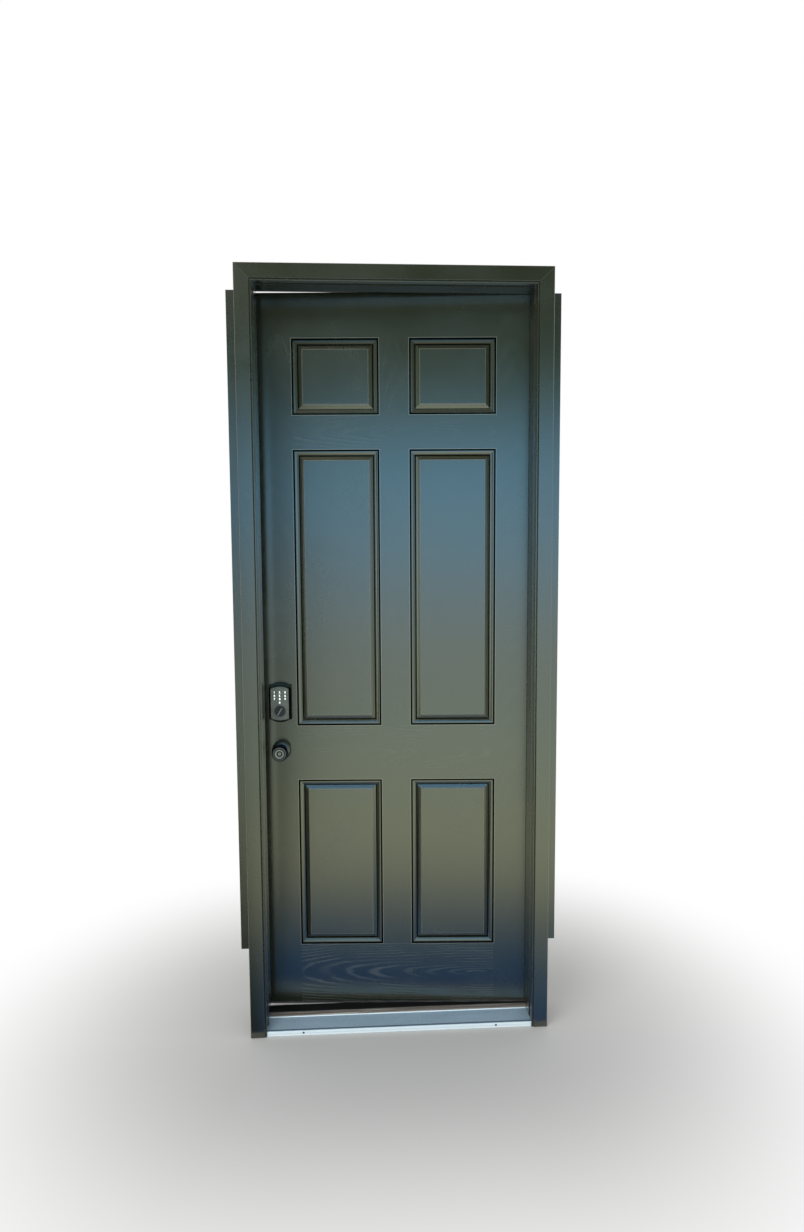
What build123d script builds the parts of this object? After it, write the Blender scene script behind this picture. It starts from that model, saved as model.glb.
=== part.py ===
from build123d import *
import math
import os

# Six-panel front door hung in its frame, standing ajar.
# Millimetres. +Z is up, -Y is the street side, +X is to the right seen from the street.
# The origin is the middle of the sill's underside, in the plane of the frame's street edge.

# Door leaf
LEAF_WIDTH = 908.0
LEAF_HEIGHT = 2432.0
LEAF_THICK = 44.5
SKIN_THICK = 2.4
STILE_CORE_WIDTH = 38.0
RAIL_CORE_HEIGHT = 38.0
LOCK_BLOCK_WIDTH = 79.0
LOCK_BLOCK_HEIGHT = 330.0
AJAR_ANGLE = 3.0

# Face layout of the leaf, from its edges inwards and from its bottom upwards
STILE_FACE = 117.0
MULLION_FACE = 101.6
BOTTOM_RAIL_FACE = 211.2
LOWER_PANEL_HEIGHT = 589.6
LOCK_RAIL_FACE = 191.8
FRIEZE_RAIL_FACE = 115.2
UPPER_PANEL_HEIGHT = 246.3
TOP_RAIL_FACE = 146.5

# Moulding round each panel: widths go inwards from the stile, depths go into the leaf
QUIRK_WIDTH = 4.2
QUIRK_DEPTH = 3.0
QUIRK_SLOPE = 1.4
OVOLO_WIDTH = 14.0
OVOLO_TOP = 1.5
OVOLO_DEPTH = 7.6
OVOLO_BULGE = 1.7
GROOVE_SLOPE = 1.2
GROOVE_WIDTH = 0.8
GROOVE_DEPTH = 9.8
BEVEL_WIDTH = 7.0
BEVEL_TOP = 5.9
SHELF_STEP_WIDTH = 0.5
SHELF_STEP_HEIGHT = 1.2
SHELF_WIDTH = 6.1
SHELF_TOP = 3.4
FIELD_STEP_WIDTH = 0.8
FIELD_DEPTH = 1.5

# Frame
JAMB_DEPTH = 116.0
JAMB_THICK = 31.75
RABBET_DEPTH = 12.7
STOP_WIDTH = 66.0
SEAL_GAP = 5.0
SIDE_GAP = 2.95
HEAD_GAP = 3.2
KERF_WIDTH = 3.0
KERF_DEPTH = 10.0
KERF_INSET = 3.0
BARB_DEPTH = 9.0
SEAL_CLEARANCE = 0.3
SEAL_EDGE = 0.35

# Casing on the street side
CASING_WIDTH = 54.0
CASING_THICK = 31.75
CASING_FLAT = 46.5
CASING_QUIRK = 3.0
CASING_QUIRK_DEPTH = 4.5
CASING_BEAD_DROP = 1.0
CASING_EASE = 1.6
REVEAL = 3.15

# Flat boards that fill in beside the casing
BOARD_THICK = 19.0
BOARD_SHOW = 29.0
BOARD_BOTTOM = 296.0
BOARD_TOP = 2440.0

# Sill
SILL_NOSE_DEPTH = 27.0
NOSE_HEIGHT = 15.4
SILL_METAL_THICK = 1.8
SLOPE_START = 17.0
SLOPE_END = 22.8
LIP_Y = 41.0
LIP_TOP = 24.6
LIP_WIDTH = 3.4
LIP_EASE = 0.6
NOSE_EASE = 0.45
CHANNEL_FLOOR = 12.0
CHANNEL_BACK = 110.0
CHANNEL_LIP = 20.0
CAP_TOP = 26.5
CAP_EASE = 1.5
CAP_CLEARANCE = 0.4
CAP_KERF_WIDTH = 1.8
CAP_KERF_DEPTH = 1.3
CAP_KERF_FROM_EDGE = 7.0
CAP_SCREW_Y = 92.0
CAP_SCREW_SPACING = 250.0
CAP_SCREWS = 4
CAP_SCREW_LENGTH = 22.0
NOSE_SCREW_X = 326.0
NOSE_SCREW_Z = 9.0
NOSE_HOLE_R = 3.6
NOSE_SCREW_SET_BACK = 0.9

# Sweep under the leaf
SWEEP_CLEARANCE = 0.5
SWEEP_BASE = 2.4
SWEEP_HEIGHT = 7.5
SWEEP_FIN = 2.0
SWEEP_FINS = 3
SWEEP_INSET = 0.8

# Hinges
HINGE_HEIGHT = 101.6
HINGE_PLATE = 2.7
HINGE_CORNER_R = 15.9
HINGE_PLATE_START = 78.0
HINGES = 4
HINGE_TOP_OFFSET = 178.0
HINGE_BOTTOM_OFFSET = 279.0
KNUCKLES = 5
KNUCKLE_R = 6.35
KNUCKLE_GAP = 0.3
KNUCKLE_STAND_OFF = 1.0
PIN_R = 3.95
RUNNING_FIT = 0.08
PIN_HEAD_R = 6.0
PIN_HEAD_HEIGHT = 3.6
PIN_EASE = 1.0
PIN_TIP = 2.5
HINGE_SCREW_ROWS = (-38.0, -14.0, 14.0, 38.0)
HINGE_SCREW_STAGGER = 8.0
HINGE_SCREW_Y = 94.0
HINGE_SCREW_LENGTH = 18.0
SCREW_R = 2.1
SCREW_HEAD_R = 4.1
SCREW_HEAD_HEIGHT = 2.2
SCREW_FIT = 0.05

# Locks
BACKSET = 60.3
KNOB_HEIGHT = 942.0
LOCK_SPACING = 139.7
CROSS_BORE_R = 27.0
EDGE_BORE_R = 12.7
CASE_R = 11.8
CASE_LENGTH = 74.5
CASE_BORE_R = 9.2
CASE_BORE_LENGTH = 50.0
HUB_HOLE_R = 8.0
FACEPLATE_WIDTH = 25.4
FACEPLATE_HEIGHT = 57.0
FACEPLATE_THICK = 2.5
FACEPLATE_SCREW_OFFSET = 21.0
BOLT_R = 8.9
LATCH_THROW = 12.7
LATCH_LENGTH = 47.0
LATCH_TAIL = 22.0
LATCH_TAIL_R = 4.5
LATCH_NOSE = 2.0
LATCH_REST = 1.0
DEADBOLT_THROW = 25.4
DEADBOLT_LENGTH = 47.5
SPINDLE_SIDE = 7.9
SPINDLE_HUB_R = 7.6
SPINDLE_HUB_LENGTH = 12.0
SOCKET_DEPTH = 12.0
TAILPIECE_WIDTH = 6.0
TAILPIECE_THICK = 2.4
SHAFT_GAP = 0.3

# Knobs and roses; distances out are from the leaf's face
ROSE_R = 33.0
ROSE_THICK = 10.0
ROSE_LIP = 2.2
ROSE_FLAT_R = 20.0
NECK_R = 10.9
NECK_START = 6.0
NECK_END = 19.0
KNOB_R = 28.0
KNOB_WIDEST = 42.0
KNOB_REACH = 55.0
KNOB_FACE_R = 22.0
KNOB_RING_R = 15.5
KNOB_RING_WIDTH = 3.2
KNOB_RING_HEIGHT = 1.6
KNOB_DISH = 1.2
PLUG_R = 5.6
PLUG_LENGTH = 22.0
KEYWAY_WIDTH = 1.6
KEYWAY_HEIGHT = 7.0
KEYWAY_DEPTH = 16.0
BUTTON_TAB = 7.0
BUTTON_TAB_THICK = 2.2
BUTTON_TAB_HEIGHT = 9.0
POST_OFFSET = 19.0
POST_R = 3.5
POST_REACH = 20.0
POST_SCREW_R = 1.6
POST_SCREW_ENTRY = 10.0
POST_SCREW_HEAD_R = 3.6
POST_SCREW_HEAD_HEIGHT = 2.0

# Keypad lock outside
KEYPAD_WIDTH = 76.0
KEYPAD_HEIGHT = 134.0
KEYPAD_SHOULDER = 7.0
KEYPAD_ARCH = 9.0
KEYPAD_BASE = 15.0
KEYPAD_FACE_WIDTH = 64.0
KEYPAD_FACE_HEIGHT = 116.0
KEYPAD_FACE_ARCH = 7.5
KEYPAD_FACE_RISE = 8.0
KEYPAD_ABOVE_LOCK = 28.0
PANEL_INSET = 1.0
PANEL_MARGIN = 1.6
TURN_R = 19.0
TURN_RECESS_GAP = 0.5
TURN_DEPTH = 3.0
TURN_GRIP_LENGTH = 30.0
TURN_GRIP_WIDTH = 5.0
TURN_GRIP_HEIGHT = 7.0
TURN_GRIP_LEAN = 30.0
TURN_GRIP_CORNER_R = 2.2
TURN_PROUD = 1.0
TURN_HUB_R = 5.0

# Battery cover and thumb turn inside
COVER_WIDTH = 72.0
COVER_HEIGHT = 142.0
COVER_DEPTH = 34.0
COVER_CORNER_R = 12.0
COVER_EDGE_R = 4.0
COVER_WALL = 2.5
COVER_ABOVE_LOCK = 32.0
THUMB_R = 13.0
THUMB_DISC = 4.0
THUMB_GRIP_LENGTH = 34.0
THUMB_GRIP_WIDTH = 6.0
THUMB_GRIP_HEIGHT = 16.0
THUMB_GRIP_CORNER_R = 3.5
THUMB_SHAFT_R = 6.0

# Strikes in the lock-side jamb
STRIKE_THICK = 1.6
STRIKE_HEIGHT = 57.0
STRIKE_WIDTH = 32.4
STRIKE_HOLE_HALF = 9.7
STRIKE_LIP_R = 4.5
STRIKE_LIP_HEIGHT = 26.0
STRIKE_SCREW_OFFSET = 21.0
LATCH_POCKET = 13.0

# How far a cutting shape runs past the face that it cuts
OVERCUT = 1.0

# Places worked out from the sizes above
RABBET_X = LEAF_WIDTH / 2 + SIDE_GAP
STOP_X = RABBET_X - RABBET_DEPTH
JAMB_X = STOP_X + JAMB_THICK
LEAF_X = LEAF_WIDTH / 2
LEAF_FRONT = STOP_WIDTH + SEAL_GAP
LEAF_BACK = LEAF_FRONT + LEAF_THICK
LEAF_MID = LEAF_FRONT + LEAF_THICK / 2
LEAF_BOTTOM = CAP_TOP + SWEEP_CLEARANCE + SWEEP_HEIGHT
LEAF_TOP = LEAF_BOTTOM + LEAF_HEIGHT
HEAD_RABBET_Z = LEAF_TOP + HEAD_GAP
HEAD_STOP_Z = HEAD_RABBET_Z - RABBET_DEPTH
HEAD_TOP = HEAD_STOP_Z + JAMB_THICK
CASING_IN_X = STOP_X + REVEAL
CASING_OUT_X = CASING_IN_X + CASING_WIDTH
CASING_IN_Z = HEAD_STOP_Z + REVEAL
CASING_TOP = CASING_IN_Z + CASING_WIDTH
CORE_FRONT = LEAF_FRONT + SKIN_THICK
CORE_BACK = LEAF_BACK - SKIN_THICK
CORE_X = LEAF_X - STILE_CORE_WIDTH
LOCK_X = -LEAF_X + BACKSET
DEADBOLT_HEIGHT = KNOB_HEIGHT + LOCK_SPACING
PIN_X = LEAF_X + SIDE_GAP / 2
PIN_Y = LEAF_BACK + KNUCKLE_STAND_OFF + KNUCKLE_R
PIN_AXIS = Axis((PIN_X, PIN_Y, 0), (0, 0, 1))
PANEL_WIDTH = (LEAF_WIDTH - 2 * STILE_FACE - MULLION_FACE) / 2
PANEL_X = (MULLION_FACE + PANEL_WIDTH) / 2
MIDDLE_PANEL_HEIGHT = (LEAF_HEIGHT - BOTTOM_RAIL_FACE - LOWER_PANEL_HEIGHT - LOCK_RAIL_FACE
                       - FRIEZE_RAIL_FACE - UPPER_PANEL_HEIGHT - TOP_RAIL_FACE)
RING_WIDTH = (QUIRK_WIDTH + OVOLO_WIDTH + GROOVE_SLOPE + GROOVE_WIDTH + BEVEL_WIDTH
              + SHELF_STEP_WIDTH + SHELF_WIDTH + FIELD_STEP_WIDTH)
CAP_FRONT = LIP_Y + LIP_WIDTH + CAP_CLEARANCE
CAP_BACK = CHANNEL_BACK - SILL_METAL_THICK - CAP_CLEARANCE


def write(node, shape):
    """Write one sub-part as its own STEP file."""
    shape.label = node
    export_step(shape, f"parts/{node}.step")


def ajar(shape):
    """Turn something on the closed leaf about the hinge pins, to where the leaf stands."""
    return shape.rotate(PIN_AXIS, -AJAR_ANGLE)


def block(x, y, z):
    """A box given by its lowest and highest value along each axis."""
    size = (x[1] - x[0], y[1] - y[0], z[1] - z[0])
    middle = ((x[0] + x[1]) / 2, (y[0] + y[1]) / 2, (z[0] + z[1]) / 2)
    return Pos(*middle) * Box(*size)


def rod_x(radius, x, y, z):
    """A round bar along X between two values of x."""
    return Pos((x[0] + x[1]) / 2, y, z) * Rot(0, 90, 0) * Cylinder(radius, x[1] - x[0])


def rod_y(radius, x, y, z):
    """A round bar along Y between two values of y."""
    return Pos(x, (y[0] + y[1]) / 2, z) * Rot(90, 0, 0) * Cylinder(radius, y[1] - y[0])


def rod_z(radius, x, y, z):
    """A round bar along Z between two values of z."""
    return Pos(x, y, (z[0] + z[1]) / 2) * Cylinder(radius, z[1] - z[0])


def group(shapes, place=lambda shape: shape):
    """Several separate solids kept together as one sub-part, each put in its place first."""
    return Compound(children=[solid for shape in shapes for solid in place(shape).solids()])


def prism_z(points, z):
    """A plan outline (x, y) carried straight up between two heights."""
    face = make_face(Polyline(*points, close=True))
    return Pos(0, 0, z[0]) * extrude(face, z[1] - z[0], dir=(0, 0, 1))


def prism_x(outline, x):
    """A side outline (y, z), as edges in the plane x = 0, carried along X."""
    return Pos(x[0], 0, 0) * extrude(make_face(outline), x[1] - x[0], dir=(1, 0, 0))


def side_line(points):
    """A closed outline in the plane x = 0 from (y, z) points."""
    return Polyline(*[(0, y, z) for y, z in points], close=True)


def turned(points):
    """Turn a closed half outline of (radius, height) points about the Y axis."""
    return revolve(make_face(Polyline(*points, close=True)), Axis.Y)


def screw_x(x_head, y, z, length, direction, fit=0.0):
    """A countersunk screw, or with a fit its hole, along X from a head flush at x_head."""
    points = [(0, 0), (SCREW_HEAD_R + fit, 0), (SCREW_R + fit, SCREW_HEAD_HEIGHT),
              (SCREW_R + fit, length), (0, length)]
    return Pos(x_head, y, z) * Rot(0, 0, -90 * direction) * turned(points)


# Leaf: two moulded skins on a core of stiles, rails, lock block and foam

def panel_places():
    """The middle (x, z) and the height of each of the six panels."""
    low = LEAF_BOTTOM + BOTTOM_RAIL_FACE
    places = []
    rows = ((LOWER_PANEL_HEIGHT, LOCK_RAIL_FACE), (MIDDLE_PANEL_HEIGHT, FRIEZE_RAIL_FACE),
            (UPPER_PANEL_HEIGHT, 0.0))
    for height, rail_above in rows:
        for x in (-PANEL_X, PANEL_X):
            places.append((x, low + height / 2, height))
        low += height + rail_above
    return places


def moulding_stations():
    """The moulding's breakpoints as (width, depth), from the stile to the raised field."""
    ovolo_end = QUIRK_WIDTH + OVOLO_WIDTH
    floor_start = ovolo_end + GROOVE_SLOPE
    floor_end = floor_start + GROOVE_WIDTH
    bevel_end = floor_end + BEVEL_WIDTH
    shelf_start = bevel_end + SHELF_STEP_WIDTH
    return {"quirk_start": (QUIRK_SLOPE, QUIRK_DEPTH),
            "quirk_end": (QUIRK_WIDTH - QUIRK_SLOPE, QUIRK_DEPTH),
            "ovolo_start": (QUIRK_WIDTH, OVOLO_TOP), "ovolo_end": (ovolo_end, OVOLO_DEPTH),
            "floor_start": (floor_start, GROOVE_DEPTH), "floor_end": (floor_end, GROOVE_DEPTH),
            "bevel_end": (bevel_end, BEVEL_TOP),
            "shelf_start": (shelf_start, BEVEL_TOP - SHELF_STEP_HEIGHT),
            "shelf_end": (shelf_start + SHELF_WIDTH, SHELF_TOP),
            "field": (RING_WIDTH, FIELD_DEPTH)}


def moulding_profile(height):
    """The skin's section through the moulding, at the middle of a panel's bottom edge."""
    s = moulding_stations()

    def at(point, below=0.0):
        return (0, point[1] + below, point[0] - height / 2)

    start, end = s["ovolo_start"], s["ovolo_end"]
    lean = OVOLO_BULGE * (end[1] - start[1]) / OVOLO_WIDTH
    middle = ((start[0] + end[0]) / 2 + lean, (start[1] + end[1]) / 2 - OVOLO_BULGE)
    quirk = Polyline(at((0, 0)), at(s["quirk_start"]), at(s["quirk_end"]), at(start))
    ovolo = ThreePointArc(at(start), at(middle), at(end))
    inwards = ("ovolo_end", "floor_start", "floor_end", "bevel_end", "shelf_start", "shelf_end",
               "field")
    rest = Polyline(*[at(s[name]) for name in inwards])
    outwards = ("field", "shelf_end", "bevel_end", "floor_end", "floor_start", "ovolo_end",
                "quirk_start")
    under = [at(s[name], SKIN_THICK) for name in outwards]
    inner = Polyline(at(s["field"]), *under, at((0, 0), SKIN_THICK), at((0, 0)))
    return make_face([quirk, ovolo, rest, inner])


def panel_moulding(height):
    """One panel's moulding ring, mitred at its corners, and its raised field."""
    w, h = PANEL_WIDTH / 2, height / 2
    path = Polyline((0, 0, -h), (w, 0, -h), (w, 0, h), (-w, 0, h), (-w, 0, -h), (0, 0, -h))
    ring = sweep(moulding_profile(height), path=path, transition=Transition.RIGHT)
    field = block((-w + RING_WIDTH, w - RING_WIDTH), (FIELD_DEPTH, FIELD_DEPTH + SKIN_THICK),
                  (-h + RING_WIDTH, h - RING_WIDTH))
    return ring + field


def cross_bores(y):
    """The two large holes through the leaf's face for the knob and the upper lock."""
    return [rod_y(CROSS_BORE_R, LOCK_X, y, z) for z in (KNOB_HEIGHT, DEADBOLT_HEIGHT)]


def moulded_skin():
    """The street-side skin of the closed leaf: a flat sheet pressed into six panels."""
    sheet = block((-LEAF_X, LEAF_X), (0, SKIN_THICK), (LEAF_BOTTOM, LEAF_TOP))
    for x, z, height in panel_places():
        sheet -= block((x - PANEL_WIDTH / 2, x + PANEL_WIDTH / 2), (0, SKIN_THICK),
                       (z - height / 2, z + height / 2))
    mouldings = {height: panel_moulding(height) for _, _, height in panel_places()}
    for x, z, height in panel_places():
        sheet += Pos(x, 0, z) * mouldings[height]
    for bore in cross_bores((-OVERCUT, SKIN_THICK + OVERCUT)):
        sheet -= bore
    return sheet


def interior_skin(skin):
    """The same skin on the room side, notched where the hinges are let in."""
    skin = Pos(0, LEAF_BACK, 0) * mirror(skin, Plane.XZ)
    for index in range(HINGES):
        skin -= hinge_plate(index, on_leaf=True)
    return skin


def panel_relief(height):
    """What a pressed panel takes out of the foam behind it, as flat-sided steps."""
    s = moulding_stations()
    w, h = PANEL_WIDTH / 2, height / 2

    def level(width, depth):
        frame = Plane(origin=(0, depth, 0), x_dir=(1, 0, 0), z_dir=(0, 1, 0))
        return frame * Rectangle(2 * (w - width), 2 * (h - width))

    hollow = loft([level(0, 0), level(*s["quirk_start"]), level(*s["ovolo_end"]),
                   level(*s["floor_start"])], ruled=True)
    island = loft([level(*s["field"]), level(*s["shelf_end"]), level(*s["bevel_end"]),
                   level(*s["floor_end"])], ruled=True)
    return hollow - island


def leaf_core():
    """The stiles, rails, lock block and foam between the skins of the closed leaf."""
    thick = (CORE_FRONT, CORE_BACK)
    lock_stile = block((-LEAF_X, -CORE_X), thick, (LEAF_BOTTOM, LEAF_TOP))
    hinge_stile = block((CORE_X, LEAF_X), thick, (LEAF_BOTTOM, LEAF_TOP))
    between = (-CORE_X, CORE_X)
    bottom_rail = block(between, thick, (LEAF_BOTTOM, LEAF_BOTTOM + RAIL_CORE_HEIGHT))
    top_rail = block(between, thick, (LEAF_TOP - RAIL_CORE_HEIGHT, LEAF_TOP))
    block_z = (KNOB_HEIGHT + LOCK_SPACING / 2 - LOCK_BLOCK_HEIGHT / 2,
               KNOB_HEIGHT + LOCK_SPACING / 2 + LOCK_BLOCK_HEIGHT / 2)
    lock_block = block((-CORE_X, -CORE_X + LOCK_BLOCK_WIDTH), thick, block_z)
    for z in (KNOB_HEIGHT, DEADBOLT_HEIGHT):
        edge_bore = rod_x(EDGE_BORE_R, (-LEAF_X - OVERCUT, LOCK_X), LEAF_MID, z)
        half_width, half_height = FACEPLATE_WIDTH / 2, FACEPLATE_HEIGHT / 2
        mortise = block((-LEAF_X - OVERCUT, -LEAF_X + FACEPLATE_THICK),
                        (LEAF_MID - half_width, LEAF_MID + half_width),
                        (z - half_height, z + half_height))
        lock_stile -= edge_bore + mortise
        lock_block -= edge_bore
    for bore in cross_bores(thick):
        lock_block -= bore
        lock_stile -= bore
    for screw in faceplate_screws(SCREW_FIT):
        lock_stile -= screw
    foam = block(between, thick, (LEAF_BOTTOM + RAIL_CORE_HEIGHT, LEAF_TOP - RAIL_CORE_HEIGHT))
    foam -= block((-CORE_X, -CORE_X + LOCK_BLOCK_WIDTH), thick, block_z)
    reliefs = {height: panel_relief(height) for _, _, height in panel_places()}
    for x, z, height in panel_places():
        foam -= Pos(x, CORE_FRONT, z) * reliefs[height]
        foam -= Pos(x, CORE_BACK, z) * mirror(reliefs[height], Plane.XZ)
    for index in range(HINGES):
        hinge_stile -= hinge_plate(index, on_leaf=True)
    for screw in hinge_screws(True, SCREW_FIT):
        hinge_stile -= screw
    return {"lock_stile": lock_stile, "hinge_stile": hinge_stile, "bottom_rail": bottom_rail,
            "top_rail": top_rail, "lock_block": lock_block, "foam_core": foam}


def door_sweep():
    """The strip under the leaf whose fins rub the sill cap."""
    low, high = LEAF_BOTTOM - SWEEP_HEIGHT, LEAF_BOTTOM
    span = (-LEAF_X + SWEEP_INSET, LEAF_X - SWEEP_INSET)
    front, back = LEAF_FRONT + SWEEP_INSET, LEAF_BACK - SWEEP_INSET
    sweep_strip = block(span, (front, back), (high - SWEEP_BASE, high))
    pitch = (back - front - SWEEP_FIN) / (SWEEP_FINS - 1)
    for index in range(SWEEP_FINS):
        y = front + index * pitch
        sweep_strip += block(span, (y, y + SWEEP_FIN), (low, high))
    return sweep_strip


# Hinges

def hinge_heights():
    """The middle height of each hinge, top and bottom set, the others spaced evenly."""
    top = LEAF_TOP - HINGE_TOP_OFFSET - HINGE_HEIGHT / 2
    bottom = LEAF_BOTTOM + HINGE_BOTTOM_OFFSET + HINGE_HEIGHT / 2
    return [bottom + index * (top - bottom) / (HINGES - 1) for index in range(HINGES)]


def hinge_plate(index, on_leaf):
    """The flat of one hinge half, let in flush, its two street-side corners rounded."""
    x = (LEAF_X - HINGE_PLATE, LEAF_X) if on_leaf else (RABBET_X, RABBET_X + HINGE_PLATE)
    y_end = PIN_Y - KNUCKLE_R - KNUCKLE_GAP
    z = hinge_heights()[index]
    plate = block(x, (HINGE_PLATE_START, y_end), (z - HINGE_HEIGHT / 2, z + HINGE_HEIGHT / 2))
    corners = plate.edges().filter_by(Axis.X).group_by(Axis.Y)[0]
    return fillet(corners, HINGE_CORNER_R)


def hinge_screw_places():
    """The (y offset, z offset) of each screw in one hinge half, in a zigzag."""
    return [(HINGE_SCREW_STAGGER * (-1) ** index, dz) for index, dz in enumerate(HINGE_SCREW_ROWS)]


def hinge_screws(on_leaf, fit=0.0):
    """All the screws of the four hinges on one side, or with a fit their holes."""
    x, direction = (LEAF_X, -1) if on_leaf else (RABBET_X, 1)
    return [screw_x(x, HINGE_SCREW_Y + dy, z + dz, HINGE_SCREW_LENGTH, direction, fit)
            for z in hinge_heights() for dy, dz in hinge_screw_places()]


def hinge_half(index, on_leaf):
    """One hinge half: its plate, its own knuckles and the webs that join them."""
    z = hinge_heights()[index]
    half = hinge_plate(index, on_leaf)
    for hole in hinge_screws(on_leaf, SCREW_FIT):
        if abs(hole.center().Z - z) < HINGE_HEIGHT / 2:
            half -= hole
    pitch = HINGE_HEIGHT / KNUCKLES
    x = (LEAF_X - HINGE_PLATE, LEAF_X) if on_leaf else (RABBET_X, RABBET_X + HINGE_PLATE)
    for knuckle in range(1 if on_leaf else 0, KNUCKLES, 2):
        low = z - HINGE_HEIGHT / 2 + knuckle * pitch + KNUCKLE_GAP / 2
        span = (low, low + pitch - KNUCKLE_GAP)
        half += block(x, (PIN_Y - KNUCKLE_R - KNUCKLE_GAP, PIN_Y), span)
        half += rod_z(KNUCKLE_R, PIN_X, PIN_Y, span)
    bore = rod_z(PIN_R + RUNNING_FIT, PIN_X, PIN_Y, (z - HINGE_HEIGHT, z + HINGE_HEIGHT))
    return half - bore


def hinge_pin(z):
    """One loose hinge pin: a straight shank, a domed head on top and a small tip below."""
    low, high = -HINGE_HEIGHT / 2 - PIN_TIP, HINGE_HEIGHT / 2
    shank = Polyline((0, high + PIN_HEAD_HEIGHT), (0, low), (PIN_R - PIN_EASE, low),
                     (PIN_R, low + PIN_EASE), (PIN_R, high), (PIN_HEAD_R, high),
                     (PIN_HEAD_R, high + PIN_EASE))
    dome = TangentArc((0, high + PIN_HEAD_HEIGHT), (PIN_HEAD_R, high + PIN_EASE), tangent=(1, 0))
    pin = revolve(make_face([shank, dome]), Axis.Y)
    return Pos(PIN_X, PIN_Y, z) * Rot(90, 0, 0) * pin


# Frame

def jamb_section(side):
    """Plan of a side jamb with its rabbet and the kerf for the seal; side is -1 or 1."""
    kerf_out = RABBET_X - KERF_INSET
    kerf_in = kerf_out - KERF_WIDTH
    points = [(JAMB_X, 0), (STOP_X, 0), (STOP_X, STOP_WIDTH), (kerf_in, STOP_WIDTH),
              (kerf_in, STOP_WIDTH - KERF_DEPTH), (kerf_out, STOP_WIDTH - KERF_DEPTH),
              (kerf_out, STOP_WIDTH), (RABBET_X, STOP_WIDTH), (RABBET_X, JAMB_DEPTH),
              (JAMB_X, JAMB_DEPTH)]
    return [(side * x, y) for x, y in points]


def strike_pocket(z, depth):
    """The hole behind a strike, where a bolt goes into the lock-side jamb."""
    half = STRIKE_HOLE_HALF
    return block((-RABBET_X - depth, -RABBET_X + OVERCUT), (LEAF_MID - half, LEAF_MID + half),
                 (z - half, z + half))


def strike_screws(fit=0.0):
    """The four screws that hold the two strikes, or with a fit their holes."""
    return [screw_x(-RABBET_X, LEAF_MID, z + dz, HINGE_SCREW_LENGTH, -1, fit)
            for z in (KNOB_HEIGHT, DEADBOLT_HEIGHT)
            for dz in (-STRIKE_SCREW_OFFSET, STRIKE_SCREW_OFFSET)]


def strike_blank(z, lipped):
    """A strike's flat, let in flush; the latch's runs back to the edge of the jamb."""
    back = JAMB_DEPTH if lipped else LEAF_MID + STRIKE_WIDTH / 2
    return block((-RABBET_X - STRIKE_THICK, -RABBET_X), (LEAF_MID - STRIKE_WIDTH / 2, back),
                 (z - STRIKE_HEIGHT / 2, z + STRIKE_HEIGHT / 2))


def strike_lip(z):
    """The lip that bends away behind the jamb and leads the latch in."""
    turn_x = -RABBET_X - STRIKE_LIP_R
    outer = CenterArc((turn_x, JAMB_DEPTH, 0), STRIKE_LIP_R, 0, 90)
    inner = CenterArc((turn_x, JAMB_DEPTH, 0), STRIKE_LIP_R - STRIKE_THICK, 0, 90)
    ends = [Line(outer @ 1, inner @ 1), Line(inner @ 0, outer @ 0)]
    lip = extrude(make_face([outer, inner] + ends), STRIKE_LIP_HEIGHT, dir=(0, 0, 1))
    return Pos(0, 0, z - STRIKE_LIP_HEIGHT / 2) * lip


def strike(z, lipped):
    """A strike plate with the hole for its bolt."""
    plate = strike_blank(z, lipped) - strike_pocket(z, JAMB_THICK)
    if lipped:
        plate += strike_lip(z)
    for hole in strike_screws(SCREW_FIT):
        plate -= hole
    return plate


def lock_jamb():
    """The side jamb that takes the bolts."""
    jamb = prism_z(jamb_section(-1), (0, HEAD_TOP))
    jamb -= strike_blank(KNOB_HEIGHT, lipped=True) + strike_blank(DEADBOLT_HEIGHT, lipped=False)
    jamb -= strike_pocket(KNOB_HEIGHT, LATCH_POCKET)
    jamb -= strike_pocket(DEADBOLT_HEIGHT, JAMB_THICK)
    for hole in strike_screws(SCREW_FIT):
        jamb -= hole
    return jamb


def hinge_jamb():
    """The side jamb that carries the hinges."""
    jamb = prism_z(jamb_section(1), (0, HEAD_TOP))
    for index in range(HINGES):
        jamb -= hinge_plate(index, on_leaf=False)
    for hole in hinge_screws(False, SCREW_FIT):
        jamb -= hole
    return jamb


def head_jamb():
    """The top of the frame, fitted between the side jambs."""
    kerf_out = HEAD_RABBET_Z - KERF_INSET
    kerf_in = kerf_out - KERF_WIDTH
    points = [(0, HEAD_TOP), (0, HEAD_STOP_Z), (STOP_WIDTH, HEAD_STOP_Z), (STOP_WIDTH, kerf_in),
              (STOP_WIDTH - KERF_DEPTH, kerf_in), (STOP_WIDTH - KERF_DEPTH, kerf_out),
              (STOP_WIDTH, kerf_out), (STOP_WIDTH, HEAD_RABBET_Z), (JAMB_DEPTH, HEAD_RABBET_Z),
              (JAMB_DEPTH, HEAD_TOP)]
    head = prism_x(side_line(points), (-RABBET_X, RABBET_X))
    for side in (-1, 1):
        x = (side * STOP_X, side * RABBET_X)
        head -= block((min(x), max(x)), (-OVERCUT, STOP_WIDTH),
                      (HEAD_STOP_Z - OVERCUT, HEAD_TOP + OVERCUT))
    return head


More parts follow.
